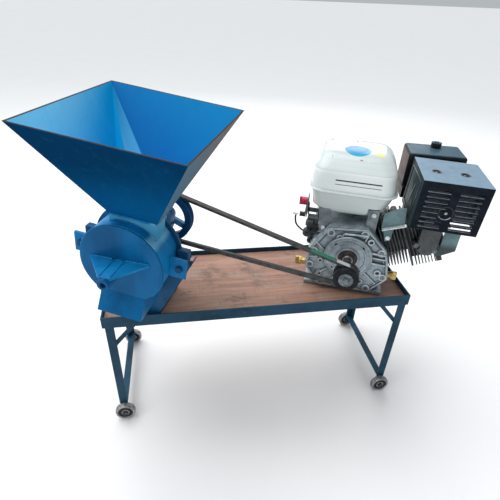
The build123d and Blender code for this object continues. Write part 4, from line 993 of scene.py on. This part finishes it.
def coil_mass(mesh):
    """Ignition coil, its bracket and the loom's clip behind the left pillar."""
    box(mesh, (-112, -84), (58, 84), (34, 62))
    box(mesh, (-114, -96), (46, 60), (46, 58))
    box(mesh, (-104, -70), (70, 96), (6, 30))
    turned(mesh, [(4, 44), (11, 44), (11, 58), (4, 58)], -108, 26, 28)
    turned(mesh, [(3, 46), (8, 46), (8, 62), (3, 62)], -98, 4, 24)


def connector(mesh):
    box(mesh, (-146, -137), (58, 66), (66, 72))
    box(mesh, (-150, -145), (59, 65), (67, 71))


def make_engine_details():
    black = MATERIALS["black_plastic"]
    piece("filter_band", cleaner_band, CLEANER, black, bevel=0.8)
    piece("filter_knob_grips", knob_grips, CLEANER, black)
    piece("stay_bolt_heads", stay_bolts, ENGINE, EDGE_STEEL, bevel=0.4)
    piece("shroud_bright_edge", bright_flange, ENGINE, EDGE_STEEL, bevel=0.3)
    piece("ignition_coil", coil_mass, ENGINE, COIL_RESIN, bevel=1.2)
    piece("lead_connector", connector, ENGINE, EDGE_STEEL, bevel=0.5)
    switch_route = [(-141, 62, 69), (-142, 60, 58), (-138, 57, 42), (-125, 52, 32), (-108, 44, 29),
                    (-88, 38, 34), (-70, 33, 40)]
    coil_route = [(-114, 88, 92), (-113, 86, 82), (-112, 80, 72), (-111, 74, 64), (-104, 66, 58)]
    wire("switch_lead", switch_route, 2.2, ENGINE, black)
    wire("coil_lead", coil_route, 1.6, ENGINE, black)


# ---- Mill: weld beads ----
def arc_weld(radius, y, start, end, step):
    """Points round the shaft at one depth, from one angle to another."""
    return [(radius * math.cos(math.radians(a)), y, radius * math.sin(math.radians(a)))
            for a in range(start, end + 1, step)]


def make_mill_details():
    """Weld beads on the disc, the tube, the throat and the hopper's foot."""
    front = -287.0
    drum_radius = 87.0
    routes = {}
    for name, side in (("left", -1), ("right", 1)):
        across = [(side * x, front - 1.2, 13.5) for x in (60, 45, 30, 14)]
        ahead = [(side * 10.6, y, 13.2) for y in (-342, -330, -312, -292)]
        routes[f"gusset_weld_{name}"] = (across, 2.2, MILL, 0.35)
        routes[f"gusset_tube_weld_{name}"] = (ahead, 1.2, MILL, 0.35)
    routes |= {
        # points, radius, place, lumps
        "tube_weld": (arc_weld(12.6, front - 1.0, 0, 180, 30), 2.0, MILL, 0.3),
        "hopper_weld_front": ([(x, -265.5, 97) for x in (-31, -5, 25, 60)], 2.4, CASING, 0.3),
        "hopper_weld_right": ([(63.4, y, 97) for y in (-262, -250, -238, -228)], 2.4, CASING, 0.35),
        "throat_weld": ([(x, -264.5, math.sqrt(drum_radius ** 2 - x * x) + 0.3)
                         for x in (-31, -16, 0, 16, 32, 46, 60)], 1.7, CASING, 0.3),
        "disc_weld": (arc_weld(86.4, front + 4.2, -60, 240, 20), 1.3, CASING, 0.25),
    }
    for name, (points, radius, place, lumps) in routes.items():
        wire(name, points, radius, place, DRUM_BLUE, lumps)


# ---- Bench: wheel faces ----
WHEEL_RINGS = (
    # part, inner and outer radius, height over the face, finish, slot
    ("rim", (18.6, 24.2), 0.9, WHEEL_RIM, "wheel_steel"),
    ("hub", (6.2, 10.6), 0.9, WHEEL_RIM, "wheel_steel"),
    # Dark ring: painted shade of the recessed groove
    ("ring", (10.2, 19.0), 0.25, WHEEL_GROOVE_SHADE, "belt_rubber"),
)


def wheel_faces(half_width, radii, proud):
    """Build function for matching rings on a wheel's two faces."""
    inner, outer = radii

    def rings(mesh):
        for side in (-1, 1):
            base, top = side * (half_width - 0.4), side * (half_width + proud)
            turned(mesh, [(inner, base), (inner + 0.5, top), (outer - 0.5, top), (outer, base)], steps=48)
    return rings


def make_wheel_faces():
    """Bright rim and hub rings with a dark ring of painted shade between them, where the face is recessed, on both
    faces of each wheel.
    """
    for corner in ("front_left", "rear_left", "front_right", "rear_right"):
        joint = JOINTS[f"wheel_spin_{corner}"]
        low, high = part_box(f"wheel_{corner}")
        half_width = (high.y - low.y) / 2 / MM
        place = Matrix.Translation(joint["pos_m"]) @ Matrix.Scale(MM, 4)
        for part, radii, proud, finish, slot in WHEEL_RINGS:
            rings = wheel_faces(half_width, radii, proud)
            piece(f"wheel_{part}_{corner}", rings, place, finish, joint["child"])


# ---- Stage, lights and camera ----
def make_floor():
    reach = 30.0
    mesh = bpy.data.meshes.new("floor")
    corners = [(-reach, -reach, 0), (reach, -reach, 0), (reach, reach, 0), (-reach, reach, 0)]
    mesh.from_pydata(corners, [], [(0, 1, 2, 3)])
    floor = bpy.data.objects.new("floor", mesh)
    bpy.context.scene.collection.objects.link(floor)
    shader = Shader("studio_floor", 0.9)
    shader.colour(shader.mix(shader.noise(3), (0.80, 0.80, 0.80), (0.84, 0.84, 0.84)))
    mesh.materials.append(shader.material)


def area_light(name, place, target, size, power):
    light = bpy.data.lights.new(name, "AREA")
    light.shape = "RECTANGLE"
    light.size, light.size_y = size
    light.energy = power
    lamp = bpy.data.objects.new(name, light)
    lamp.location = place
    lamp.rotation_euler = (Vector(target) - Vector(place)).to_track_quat("-Z", "Y").to_euler()
    bpy.context.scene.collection.objects.link(lamp)


def make_lights():
    world = bpy.data.worlds.new("studio")
    world.use_nodes = True
    background = world.node_tree.nodes["Background"]
    background.inputs["Color"].default_value = (0.90, 0.955, 1.0, 1.0)
    background.inputs["Strength"].default_value = 0.50
    bpy.context.scene.world = world
    sun = bpy.data.lights.new("soft_sun", "SUN")
    sun.energy = 1.75
    sun.angle = math.radians(55)
    lamp = bpy.data.objects.new("soft_sun", sun)
    lamp.rotation_euler = Vector((-0.35, 0.40, 1.0)).to_track_quat("Z", "Y").to_euler()
    bpy.context.scene.collection.objects.link(lamp)
    middle = (0, 0, 0.5)
    area_light("top_softbox", (-0.6, 0.4, 2.8), middle, (2.4, 2.4), 36)
    area_light("left_softbox", (-2.4, -0.9, 1.7), middle, (1.6, 1.8), 15)
    area_light("back_softbox", (0.8, 2.6, 1.9), middle, (2.2, 1.6), 26)


CAMERA_LENS = 29.88
CAMERA_FROM_BENCH = Vector((-178.0, -863.2, 648.05)) * MM    # from the middle of the bench's top rim
CAMERA_YAW = 10.55
CAMERA_PITCH = 33.01
CAMERA_ROLL = 2.71


def make_camera():
    low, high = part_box("rim_rails")
    bench = (low + high) / 2
    bench.z = high.z
    yaw, pitch, roll = (math.radians(a) for a in (CAMERA_YAW, CAMERA_PITCH, CAMERA_ROLL))
    ahead = Vector((math.sin(yaw) * math.cos(pitch), math.cos(yaw) * math.cos(pitch), -math.sin(pitch)))
    level_right = ahead.cross(UP).normalized()
    level_up = level_right.cross(ahead)
    right = level_right * math.cos(roll) + level_up * math.sin(roll)
    above = level_up * math.cos(roll) - level_right * math.sin(roll)
    data = bpy.data.cameras.new("camera")
    data.lens = CAMERA_LENS
    data.sensor_width = 36.0
    camera = bpy.data.objects.new("camera", data)
    turn = Matrix((right, above, -ahead)).transposed().to_4x4()
    camera.matrix_world = Matrix.Translation(bench + CAMERA_FROM_BENCH) @ turn
    bpy.context.scene.collection.objects.link(camera)
    bpy.context.scene.camera = camera


bpy.context.scene.view_settings.view_transform = "Standard"
dress_nodes()
make_cover()
make_tank()
make_guard()
make_engine_details()
make_mill_details()
make_wheel_faces()
make_floor()
make_lights()
make_camera()
